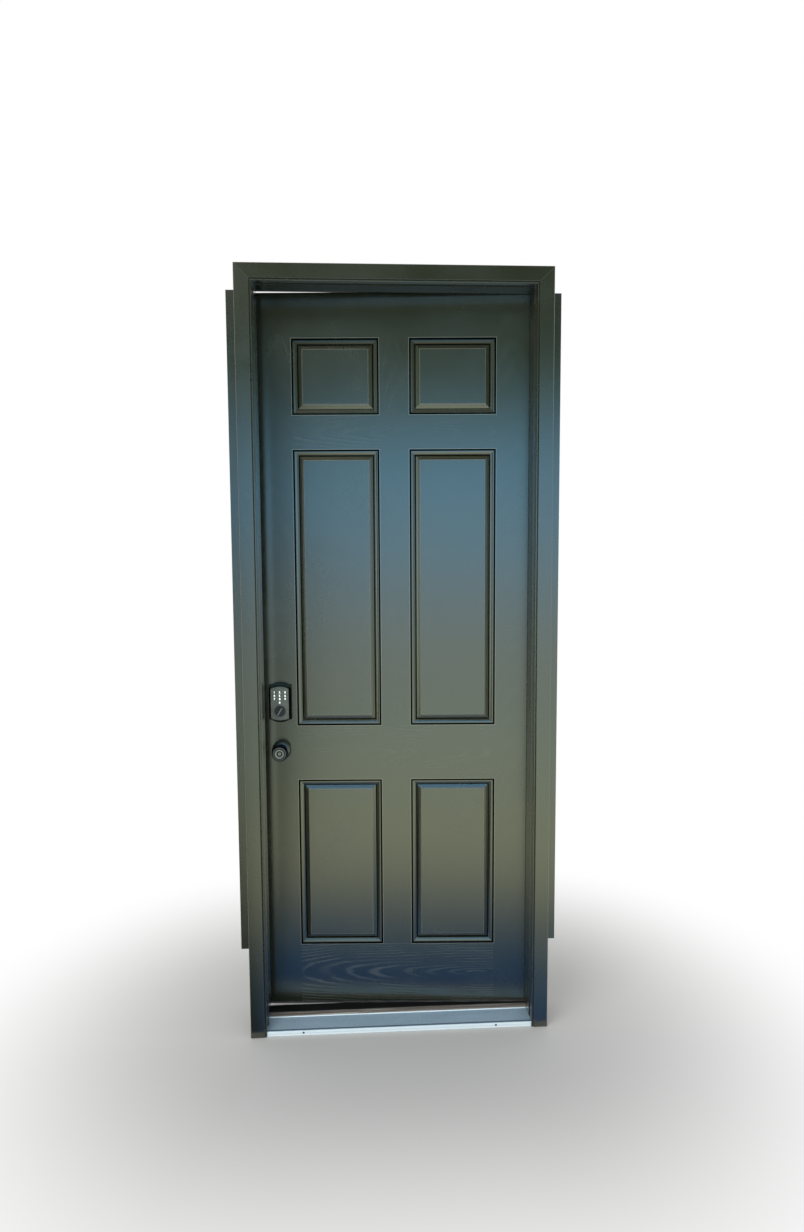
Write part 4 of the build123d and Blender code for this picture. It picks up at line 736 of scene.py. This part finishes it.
def drawn_aluminium():
    """The sill's deck: lines along X, stains, pits and pale specks; its nose and lip are white.

    The deck's blue-grey is its metal with a painted reflection of the sky, the dark fold behind
    the nose is painted shade, and the white nose and lip and the bright edges are painted
    highlights. Under the painted highlight the metal isn't shiny.
    """
    name = "drawn aluminium"
    material, tree, shader, place, dust, edge = new_surface(name, False, 0.0009, 18.0)
    drawn = noise(tree, stretch(tree, place, (6.0, 900.0, 900.0)), 1.0, 3.0)
    cloud = noise(tree, stretch(tree, place, (9.0, 40.0, 40.0)), 1.0, 6.0)
    stain = rescale(tree, cloud, 0.42, 0.66)
    pits = rescale(tree, noise(tree, place, 260.0, 2.0), 0.62, 0.70)
    split = parts(tree, place)
    fold = line(tree, split[1], *DECK_FOLD)
    roll = line(tree, split[2], *NOSE_ROLL)
    # The nose, its roll and the lip are painted white and grey as a painted highlight.
    white = blend(tree, times(tree, roll, 0.5), NOSE_HIGHLIGHT, ROLL_HIGHLIGHT_GREY)
    nose_and_lip_highlight = maths(tree, "MAXIMUM", rescale(tree, split[1], *DECK_NOSE),
                   line(tree, split[1], *DECK_LIP))
    tone = blend(tree, times(tree, stain, 0.55), CLEAN_METAL_SKY_BLUE, STAINED_METAL_SKY_BLUE)
    layers = ((fold, 0.85, FOLD_SHADE), (edge["Edge"], 0.9, EDGE_HIGHLIGHT), (pits, 0.5, PIT_DARK),
              (dust["Specks"], 0.5, SPECK_PALE), (nose_and_lip_highlight, 0.92, white))
    for mask, amount, colour in layers:
        tone = blend(tree, times(tree, mask, amount), tone, colour)
    rough = times_plus(tree, stain, 0.22, 0.38)
    dress(tree, shader, tone, rough, bump(tree, drawn, DECK_DEPTH, edge["Normal"]))
    shiny = minus(tree, 0.40, times(tree, stain, 0.20))
    # The metal is made dull under the painted highlight.
    feed(tree, shader.inputs["Metallic"], times(tree, shiny, rest_of(tree, nose_and_lip_highlight)))
    return material


BRONZE_DARK = (0.040, 0.035, 0.032, 1)
BRONZE_WORN = (0.30, 0.22, 0.15, 1)
BRONZE = metal("dark bronze", BRONZE_DARK, BRONZE_WORN, 0.34)
FRAME_BRONZE = metal("dark bronze on the frame", BRONZE_DARK, BRONZE_WORN, 0.38, leaf=False)
STEEL = metal("zinc plated steel", (0.55, 0.54, 0.50, 1), (0.75, 0.74, 0.72, 1), 0.34)
SCREW_STEEL = metal("old screw steel", (0.030, 0.028, 0.025, 1), (0.08, 0.07, 0.06, 1), 0.5,
                    leaf=False)
PLUG_METAL = metal("worn lock metal", (0.36, 0.34, 0.30, 1), (0.7, 0.66, 0.6, 1), 0.30)
ALUMINIUM = drawn_aluminium()
SEAL = rubbery("seal skin", (0.020, 0.019, 0.018, 1), (0.06, 0.058, 0.052, 1), 0.55,
               (8.0, 8.0, 300.0))
VINYL = rubbery("sweep vinyl", (0.020, 0.020, 0.020, 1), (0.07, 0.07, 0.065, 1), 0.5,
                (12.0, 300.0, 300.0))
CAP = sill_composite()
CORE = rubbery("sill composite", (0.22, 0.19, 0.16, 1), (0.35, 0.31, 0.27, 1), 0.7,
               (9.0, 60.0, 60.0))
FOAM = rubbery("foam", (0.75, 0.66, 0.45, 1), (0.85, 0.78, 0.60, 1), 0.8, (200.0, 200.0, 200.0))
print("metals and sill ready")

# %% [markdown]
# ## The lock outside
# The knob, its rose and the lock's turn piece are round, and their colour changes with the
# distance from the axis. On the knob and the rose: a bright ring round the key plug, a dark
# rounded rim, and pale, olive and blue rings, all with a cast texture between. The bright, pale,
# olive and blue rings are painted highlights and painted reflections. So each reads its colour
# from a Color Ramp by that distance. The keypad's housing is black round its sides, and its flat
# face has the same pale speckle as the touch panel set in it.

# %% Lock finishes
def vector_length(tree, vector):
    """The length of a vector."""
    node = put(tree, "ShaderNodeVectorMath", operation="LENGTH")
    feed(tree, node.inputs[0], vector)
    return node.outputs["Value"]


def axis_distance(tree, place, axis):
    """Distance from a line straight through the leaf at axis = (across, up), and the way there."""
    off = put(tree, "ShaderNodeVectorMath", operation="SUBTRACT")
    feed(tree, off.inputs[0], place)
    off.inputs[1].default_value = (axis[0], 0.0, axis[1])
    flat = stretch(tree, off.outputs[0], (1.0, 0.0, 1.0))
    return vector_length(tree, flat), off.outputs[0]


def colour_bands(tree, value, reach, stops):
    """A Color Ramp over 0 to reach; stops are (distance, colour) in metres."""
    ramp = put(tree, "ShaderNodeValToRGB")
    feed(tree, ramp.inputs[0], maths(tree, "DIVIDE", value, reach))
    points = ramp.color_ramp.elements
    while len(points) < len(stops):
        points.new(1.0)
    for point, (distance, colour) in zip(points, stops):
        point.position = distance / reach
        point.color = (*colour, 1.0)
    return ramp.outputs["Color"]


KNOB_REACH = 0.040
CAST_DEPTH = 0.00012
CAST_DARK = (0.012, 0.012, 0.012, 1)
CAST_RUBBED = (0.30, 0.29, 0.27, 1)


def turned_finish(name, stops, metallic, roughness):
    """A round piece whose colour goes by distance from the knob's axis, with a cast texture."""
    material, tree, shader = new_material(name)
    place = leaf_vector(tree)
    distance, _ = axis_distance(tree, place, KNOB_AXIS)
    cast = noise(tree, place, 900.0, 3.0)
    edge = use_group(tree, EDGE, Vector=place, Radius=0.0005, Wear_Size=300.0)
    tone = colour_bands(tree, distance, KNOB_REACH, stops)
    tone = blend(tree, rescale(tree, cast, 0.40, 0.62, 0.45, 0.0), tone, CAST_DARK)
    tone = blend(tree, times(tree, edge["Wear"], 0.5), tone, CAST_RUBBED)
    rough = times_plus(tree, cast, 0.2, roughness - 0.1)
    dress(tree, shader, tone, rough, bump(tree, cast, CAST_DEPTH, edge["Normal"]))
    shader.inputs["Metallic"].default_value = metallic
    return material


# The pale, olive and blue rings in these two lists are painted highlights and painted reflections;
# the dark rings are the cast metal.
KNOB_LIGHT_RINGS = [(0.0062, (0.015, 0.015, 0.015)), (0.0096, (0.020, 0.020, 0.020)),
              (0.0106, (0.46, 0.46, 0.44)), (0.0148, (0.50, 0.50, 0.47)),
              (0.0158, (0.020, 0.020, 0.019)), (0.0188, (0.045, 0.045, 0.042)),
              (0.0203, (0.24, 0.24, 0.225)), (0.0218, (0.22, 0.22, 0.21)),
              (0.0226, (0.010, 0.010, 0.011)), (0.0250, (0.030, 0.031, 0.055)),
              (0.0280, (0.008, 0.008, 0.014))]
ROSE_LIGHT_RINGS = [(0.0120, (0.02, 0.02, 0.02)), (0.0200, (0.060, 0.062, 0.060)),
              (0.0235, (0.170, 0.180, 0.170)), (0.0255, (0.055, 0.060, 0.050)),
              (0.0285, (0.130, 0.145, 0.105)), (0.0305, (0.150, 0.165, 0.120)),
              (0.0318, (0.060, 0.066, 0.050)), (0.0330, (0.030, 0.033, 0.025))]
KNOB_FINISH = turned_finish("cast knob", KNOB_LIGHT_RINGS, 1.0, 0.32)
ROSE_FINISH = turned_finish("cast rose", ROSE_LIGHT_RINGS, 0.9, 0.30)

# %% Turn piece, keypad face and housing
FACE_HALF = 0.0308
FACE_LOW, FACE_HIGH = -0.0340, 0.0800
FACE_ROUND = 0.0012
ARCH_RISE = 0.006
CROWN = (0.078, 0.084)
SPECKLE_DARK = (0.042, 0.053, 0.045, 1)
SPECKLE_PALE = (0.22, 0.25, 0.225, 1)
SHELL_BLACK = (0.004, 0.005, 0.004, 1)
SHELL_CROWN = (0.034, 0.046, 0.038, 1)
GRIP_LEAN = math.radians(30.0)
GRIP_LINE = (0.0004, 0.0010, 0.0008)
GRIP_END = (0.0150, 0.0135)
TURN_REACH = 0.025
TURN_BANDS = [(0.0040, (0.05, 0.055, 0.052)), (0.0150, (0.032, 0.036, 0.034)),
              (0.0172, (0.075, 0.082, 0.078)), (0.0190, (0.008, 0.009, 0.008))]
TURN_DARK = (0.008, 0.009, 0.009, 1)
TURN_HIGHLIGHT = (0.30, 0.32, 0.31, 1)


def speckle(tree, place):
    """Pale cast speckle, coarse enough to show from a few paces off."""
    coarse = rescale(tree, noise(tree, place, 620.0, 2.0), 0.40, 0.62)
    fine = rescale(tree, noise(tree, place, 1900.0, 2.0), 0.42, 0.64)
    both = times_plus(tree, coarse, 0.6, times(tree, fine, 0.4))
    return blend(tree, both, SPECKLE_DARK, SPECKLE_PALE), both


def touch_panel():
    """Smoked plastic with a pale speckle under a satin gloss."""
    material, tree, shader = new_material("smoked touch panel")
    place = leaf_vector(tree)
    tone, both = speckle(tree, place)
    film = use_group(tree, DUST, Vector=place)["Film"]
    rough = times_plus(tree, film, 0.10, 0.32)
    dress(tree, shader, tone, rough, bump(tree, both, 0.00004))
    return material


def keypad_shell():
    """Black sides and a paler crown; the flat face has the speckle.

    The face is a box of distances from the turn piece. Its top and its foot are arched: towards
    the sides they come in by ARCH_RISE x (side / half width) squared.
    """
    material, tree, shader = new_material("keypad housing")
    place = leaf_vector(tree)
    _, off = axis_distance(tree, place, TURN_AXIS)
    split = parts(tree, off)
    side = maths(tree, "ABSOLUTE", split[0])
    arch = maths(tree, "POWER", maths(tree, "DIVIDE", side, FACE_HALF), 2.0)
    arch = times(tree, arch, ARCH_RISE)
    top = maths(tree, "ADD", split[2], arch)
    foot = minus(tree, split[2], arch)
    on_face = times(tree, rescale(tree, side, FACE_HALF, FACE_HALF - FACE_ROUND),
                    rescale(tree, top, FACE_HIGH, FACE_HIGH - FACE_ROUND))
    on_face = times(tree, on_face, rescale(tree, foot, FACE_LOW, FACE_LOW + FACE_ROUND))
    pale, both = speckle(tree, place)
    edge = use_group(tree, EDGE, Vector=place, Radius=0.0008)
    dark = blend(tree, rescale(tree, split[2], *CROWN), SHELL_BLACK, SHELL_CROWN)
    rough = times_plus(tree, both, 0.08, 0.42)
    tone = blend(tree, on_face, dark, pale)
    dress(tree, shader, tone, rough, bump(tree, both, 0.00005, edge["Normal"]))
    feed(tree, shader.inputs["Metallic"], rest_of(tree, on_face))
    shader.inputs["Specular IOR Level"].default_value = 0.3
    return material


def turn_finish():
    """A dark cast disc; its grip leans 30 degrees and has a pale painted highlight along its top.
    """
    material, tree, shader = new_material("cast turn piece")
    place = leaf_vector(tree)
    distance, off = axis_distance(tree, place, TURN_AXIS)
    lean = put(tree, "ShaderNodeMapping", vector_type="POINT")
    feed(tree, lean.inputs["Vector"], off)
    lean.inputs["Rotation"].default_value = (0.0, -GRIP_LEAN, 0.0)
    split = parts(tree, lean.outputs[0])
    # The pale line along the grip's top is a painted highlight.
    grip_highlight = times(tree, line(tree, split[0], *GRIP_LINE), rescale(tree, distance, *GRIP_END))
    cast = noise(tree, place, 700.0, 3.0)
    tone = colour_bands(tree, distance, TURN_REACH, TURN_BANDS)
    tone = blend(tree, rescale(tree, cast, 0.42, 0.60, 0.6, 0.0), tone, TURN_DARK)
    tone = blend(tree, times(tree, grip_highlight, 0.9), tone, TURN_HIGHLIGHT)
    edge = use_group(tree, EDGE, Vector=place, Radius=0.0007)
    rough = times_plus(tree, cast, 0.2, 0.38)
    dress(tree, shader, tone, rough, bump(tree, cast, CAST_DEPTH, edge["Normal"]))
    shader.inputs["Metallic"].default_value = 0.4
    return material


PANEL_FRONT = touch_panel()
KEYPAD_SHELL = keypad_shell()
TURN_FINISH = turn_finish()
EDGE_STROKE = (500.0, 500.0, 7.0)
EDGE_WOOD = brushed_paint("painted edge wood", EDGE_STROKE)
print("lock finishes ready")

# %% [markdown]
# ## Finishes on the CAD nodes
# Each node gets one finish. A node's mesh is left as it is, and its one material slot is filled.

# %% Assign finishes
HINGES = range(1, 5)
FINISHES = {
    GRAINED: ["exterior_skin", "interior_skin"],
    UPRIGHT_PAINT: ["lock_jamb", "hinge_jamb", "lock_casing", "hinge_casing"],
    BOARD_PAINT: ["lock_side_board", "hinge_side_board"],
    HEAD_CASING_SHADED_PAINT: ["head_casing"],
    HEAD_SHADED_PAINT: ["head_jamb"],
    EDGE_WOOD: ["lock_stile", "hinge_stile", "top_rail", "bottom_rail", "lock_block"],
    FOAM: ["foam_core"],
    ALUMINIUM: ["sill_deck"],
    CORE: ["sill_core"],
    CAP: ["sill_cap"],
    SCREW_STEEL: ["sill_cap_screws", "sill_nose_screws"],
    SEAL: ["lock_side_seal", "hinge_side_seal", "head_seal"],
    VINYL: ["door_sweep"],
    FRAME_BRONZE: ["latch_strike", "deadbolt_strike", "strike_screws", "hinge_pins",
                   "jamb_hinge_screws", *(f"jamb_hinge_half_{n}" for n in HINGES)],
    BRONZE: ["door_hinge_screws", "inside_lock_cover", "thumb_turn",
             *(f"door_hinge_half_{n}" for n in HINGES)],
    KNOB_FINISH: ["outside_knob", "inside_knob"],
    ROSE_FINISH: ["outside_rose", "inside_rose"],
    KEYPAD_SHELL: ["keypad_housing"],
    TURN_FINISH: ["outside_turn"],
    STEEL: ["latch_case", "deadbolt_case", "faceplate_screws", "inside_lock_plate",
            "lock_mounting_screws", "knob_spindle", "latch_bolt", "deadbolt", "tailpiece"],
    PLUG_METAL: ["key_plug", "lock_button"],
    PANEL_FRONT: ["keypad_panel"],
}
for finish, names in FINISHES.items():
    for name in names:
        mesh = NODES[name].data
        mesh.materials.clear()
        mesh.materials.append(finish)
missing = set(NODES) - {name for names in FINISHES.values() for name in names}
print("nodes without a finish:", sorted(missing))

# %% [markdown]
# ## Lit numbers on the keypad
# The touch panel shows its numbers in white light from behind. Each number is a Text curve, made
# a mesh before its place is applied, and laid a tenth of a millimetre proud of the panel. The ten
# meshes are joined into one piece that rides with the leaf. The band above them is plain.

# %% Numbers
NUMBER_COLUMNS = (-0.0180, 0.0, 0.0185)
NUMBER_ROWS = (1.1464, 1.1348, 1.1236)
ZERO_ROW = 1.1112
NUMBER_HEIGHT = 0.0094
NUMBER_WEIGHT = 0.00042
NUMBER_THICK = 0.00010
NUMBER_PROUD = 0.00012
GLOW_DIM = (0.62, 0.72, 0.70, 1)
GLOW_FULL = (0.95, 1.0, 0.98, 1)
NUMBER_BODY = (0.30, 0.32, 0.31, 1)


def number_shape(text):
    """Corners and faces of one flat number, centred on the origin and facing +Z."""
    curve = bpy.data.curves.new("number", "FONT")
    curve.body = text
    curve.size = NUMBER_HEIGHT
    curve.align_x = "CENTER"
    curve.align_y = "CENTER"
    curve.resolution_u = 3
    curve.offset = NUMBER_WEIGHT
    curve.extrude = NUMBER_THICK
    holder = bpy.data.objects.new("number", curve)
    mesh = bpy.data.meshes.new_from_object(holder)
    points = corner_points(mesh)
    faces = [list(face.vertices) for face in mesh.polygons]
    bpy.data.objects.remove(holder)
    bpy.data.meshes.remove(mesh)
    return points, faces


def lit_number():
    """White light, a little uneven, as from a lamp behind a mask."""
    material, tree, shader = new_material("lit number")
    uneven = noise(tree, leaf_vector(tree), 300.0, 2.0)
    glow = blend(tree, rescale(tree, uneven, 0.35, 0.65), GLOW_DIM, GLOW_FULL)
    feed(tree, shader.inputs["Emission Color"], glow)
    shader.inputs["Emission Strength"].default_value = 1.5
    shader.inputs["Base Color"].default_value = NUMBER_BODY
    return material


def keypad_numbers():
    """Each number's (u, v, w) goes to (across + u, front - w, up + v) on the shut leaf."""
    front = shut_node("keypad_panel")[:, 1].min() - NUMBER_PROUD
    places = [(column, row) for row in NUMBER_ROWS for column in NUMBER_COLUMNS]
    places.append((0.0, ZERO_ROW))
    points, faces, used = [], [], 0
    for text, (across, up) in zip("1234567890", places):
        shape, loops = number_shape(text)
        u, v, w = shape.T
        points.append(np.stack([KNOB_AXIS[0] + across + u, front - w, up + v], axis=1))
        faces += [[index + used for index in loop] for loop in loops]
        used += len(shape)
    mesh = bpy.data.meshes.new("keypad_numbers")
    mesh.from_pydata(turned(np.concatenate(points), -AJAR).tolist(), [], faces)
    mesh.materials.append(lit_number())
    return add_object("keypad_numbers", mesh)


numbers = keypad_numbers()
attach(numbers, "leaf")
print("numbers:", len(numbers.data.polygons), "faces")

# %% [markdown]
# ## The studio
# A satin door is mostly a soft mirror, so the studio is built from what the door should show. The
# floor is pale, keeps the door's shadow, and fades to white a little way off. The room round it
# is white too, for the camera and for everything that shines. A broad soft lamp stands behind
# the camera, and a second one over it to the left gives the shadows. A few cards, which only
# shiny surfaces see, give the door its reflections: a front one that runs from green up to blue
# and then dark, one on the floor that turns blue near the door, one high up for the sky, and a
# dark ceiling and sides.

# %% Floor
def seen_rays(tree):
    """1 for rays from the camera, a glossy surface or clear glass, 0 for scattered light."""
    path = put(tree, "ShaderNodeLightPath")
    seen = maths(tree, "MAXIMUM", path.outputs["Is Camera Ray"], path.outputs["Is Glossy Ray"])
    return maths(tree, "MAXIMUM", seen, path.outputs["Is Transmission Ray"])


PLAIN_WHITE = (1, 1, 1, 1)


def mixed(tree, factor, first, second):
    """Two shaders mixed: the first at 0, the second at 1."""
    node = put(tree, "ShaderNodeMixShader")
    for socket, value in zip(node.inputs, (factor, first, second)):
        feed(tree, socket, value)
    return node.outputs[0]


def show(tree, surface):
    """Make a shader the surface of the material."""
    output = next(node for node in tree.nodes if node.type == "OUTPUT_MATERIAL")
    feed(tree, output.inputs[0], surface)


FLOOR_PALE = (0.50, 0.50, 0.49, 1)
FLOOR_RADIUS = 9.0
FLOOR_SIDES = 96
FLOOR_DROP = -0.0005
FADE_HALF = 0.35
FADE = (0.25, 1.35)


def fading_floor():
    """Pale matt floor near the door, plain white further off.

    It fades by the distance from a line under the door, from 25 cm to 1.35 m away.
    """
    material, tree, shader = new_material("pale floor")
    shader.inputs["Base Color"].default_value = FLOOR_PALE
    shader.inputs["Roughness"].default_value = 0.9
    shader.inputs["Specular IOR Level"].default_value = 0.2
    split = parts(tree, object_vector(tree))
    beside = minus(tree, maths(tree, "ABSOLUTE", split[0]), FADE_HALF)
    away = joined(tree, maths(tree, "MAXIMUM", beside, 0.0), split[1])
    far = rescale(tree, vector_length(tree, away), *FADE)
    white = put(tree, "ShaderNodeEmission")
    white.inputs["Color"].default_value = PLAIN_WHITE
    fade = times(tree, far, seen_rays(tree))
    show(tree, mixed(tree, fade, shader.outputs[0], white.outputs[0]))
    return material


floor_mesh = bpy.data.meshes.new("floor")
angles = np.linspace(0.0, 2 * np.pi, FLOOR_SIDES, endpoint=False)
rim = np.stack([FLOOR_RADIUS * np.cos(angles), FLOOR_RADIUS * np.sin(angles),
                np.full(FLOOR_SIDES, FLOOR_DROP)], axis=1)
floor_mesh.from_pydata(rim.tolist(), [], [list(range(FLOOR_SIDES))])
floor_mesh.materials.append(fading_floor())
floor = add_object("floor", floor_mesh)


# %% World
ROOM_WHITE = (0.87, 0.87, 0.87, 1)


def studio_world():
    """White for every ray that is seen, and a softer white as the room's light."""
    world = bpy.data.worlds.new("studio")
    world.use_nodes = True
    tree = world.node_tree
    tree.nodes.clear()
    room = put(tree, "ShaderNodeBackground")
    room.inputs["Color"].default_value = ROOM_WHITE
    white = put(tree, "ShaderNodeBackground")
    white.inputs["Color"].default_value = PLAIN_WHITE
    both = mixed(tree, seen_rays(tree), room.outputs[0], white.outputs[0])
    feed(tree, put(tree, "ShaderNodeOutputWorld").inputs[0], both)
    return world


bpy.context.scene.world = studio_world()


# %% Lamps and cards
def soft_lamp(name, place, target, size, watts, colour):
    """A rectangular area lamp that faces its target."""
    data = bpy.data.lights.new(name, "AREA")
    data.shape = "RECTANGLE"
    data.size, data.size_y = size
    data.energy = watts
    data.color = colour
    lamp = add_object(name, data)
    lamp.location = place
    lamp.rotation_euler = (Vector(target) - Vector(place)).to_track_quat("-Z", "Y").to_euler()
    return lamp


SHADE_SLOPE = 0.18
DOOR_FACE = 0.117


def picture_card(name, corners, along, stops, shade, strength):
    """A flat glowing card that only shiny surfaces see.

    Its colour goes by its distance along one axis, through stops (distance, colour). Shade is
    (share, from, to): to the left it falls to that share, over lines that run away from the
    door, u = x + SHADE_SLOPE (DOOR_FACE - y).
    """
    mesh = bpy.data.meshes.new(name)
    mesh.from_pydata(corners, [], [[0, 1, 2, 3]])
    material, tree, unused = new_material(name)
    tree.nodes.remove(unused)
    split = parts(tree, object_vector(tree))
    low, high = stops[0][0], stops[-1][0]
    shifted = [(distance - low, colour) for distance, colour in stops]
    value = minus(tree, split["XYZ".index(along)], low)
    colour = colour_bands(tree, value, high - low, shifted)
    outward = minus(tree, DOOR_FACE, split[1])
    across = times_plus(tree, outward, SHADE_SLOPE, split[0])
    dim = rescale(tree, across, shade[1], shade[2], shade[0], 1.0)
    glow = put(tree, "ShaderNodeEmission")
    feed(tree, glow.inputs["Color"], colour)
    feed(tree, glow.inputs["Strength"], times(tree, dim, strength))
    show(tree, glow.outputs[0])
    mesh.materials.append(material)
    piece = add_object(name, mesh)
    piece.visible_camera = False
    piece.visible_diffuse = False
    piece.visible_transmission = False
    piece.visible_shadow = False


def broad(left, right, start, end):
    """Corners of a card from left to right; start and end are (y, z) of its two long edges."""
    return [(left, *start), (right, *start), (right, *end), (left, *end)]


def upright_side(x, far, near, top):
    """Corners of an upright card at one side, from far to near."""
    return [(x, far, 0.0), (x, near, 0.0), (x, near, top), (x, far, top)]


FRONT = [(0.05, (0.43, 0.50, 0.45)), (0.47, (0.45, 0.50, 0.49)), (0.89, (0.41, 0.52, 0.60)),
         (1.31, (0.355, 0.56, 0.76)), (1.73, (0.30, 0.60, 0.93)), (2.15, (0.26, 0.62, 1.0)),
         (2.57, (0.19, 0.44, 0.70)), (2.98, (0.075, 0.120, 0.080)), (3.30, (0.035, 0.040, 0.006)),
         (4.05, (0.032, 0.034, 0.002))]
PATH = [(-4.60, (0.51, 0.59, 0.53)), (-3.30, (0.55, 0.65, 0.58)), (-2.28, (0.55, 0.63, 0.50)),
        (-1.55, (0.62, 0.63, 0.47)), (-1.01, (0.47, 0.49, 0.40)), (-0.59, (0.18, 0.22, 0.27)),
        (-0.26, (0.04, 0.11, 0.24)), (-0.06, (0.0, 0.05, 0.22))]
CEILING = [(-2.40, (0.035, 0.035, 0.010)), (-0.30, (0.05, 0.05, 0.02))]
SKY = [(4.2, (0.010, 0.012, 0.003)), (4.9, (0.010, 0.012, 0.003)), (5.1, (0.20, 0.55, 1.0)),
       (6.2, (0.20, 0.55, 1.0)), (6.5, (0.02, 0.03, 0.02)), (8.0, (0.02, 0.03, 0.02))]
SIDE = [(0.0, (0.42, 0.46, 0.36)), (0.7, (0.42, 0.50, 0.42)), (1.7, (0.42, 0.56, 0.66)),
        (2.2, (0.30, 0.42, 0.46)), (2.8, (0.085, 0.115, 0.060)), (4.5, (0.060, 0.065, 0.020))]
FRONT_SHADE = (0.05, -0.48, -0.38)
PATH_SHADE = (0.06, -0.48, -0.38)
NO_SHADE = (1.0, -9.0, -8.0)
LEFT, RIGHT, FAR = -3.0, 2.6, -4.6
CARDS = [
    ("front card", broad(LEFT, RIGHT, (FAR, 0.0), (FAR, 4.05)), "Z", FRONT, FRONT_SHADE, 2.6),
    ("path card", broad(LEFT, RIGHT, (FAR, 0.001), (-0.06, 0.001)), "Y", PATH, PATH_SHADE, 2.2),
    ("ceiling card", broad(LEFT, RIGHT, (-0.3, 3.0), (-2.4, 3.0)), "Y", CEILING, NO_SHADE, 2.6),
    ("sky card", broad(-7.0, 7.0, (-6.0, 4.2), (-6.0, 8.0)), "Z", SKY, NO_SHADE, 4.4),
    ("side card", upright_side(LEFT, FAR, -0.5, 4.5), "Z", SIDE, NO_SHADE, 3.0),
    ("side card", upright_side(RIGHT, FAR, -0.5, 4.5), "Z", SIDE, NO_SHADE, 1.5),
]
front_lamp = soft_lamp("front lamp", (0.0, -4.7, 1.5), (0.0, 0.0, 1.4), (6.5, 2.4), 40.0,
                       (1.0, 1.0, 1.0))
front_lamp.visible_glossy = False
soft_lamp("key lamp", (-1.6, -2.1, 4.4), (0.0, 0.0, 0.8), (2.0, 1.4), 60.0, (1.0, 1.0, 0.98))
for card in CARDS:
    picture_card(*card)
print("studio ready")
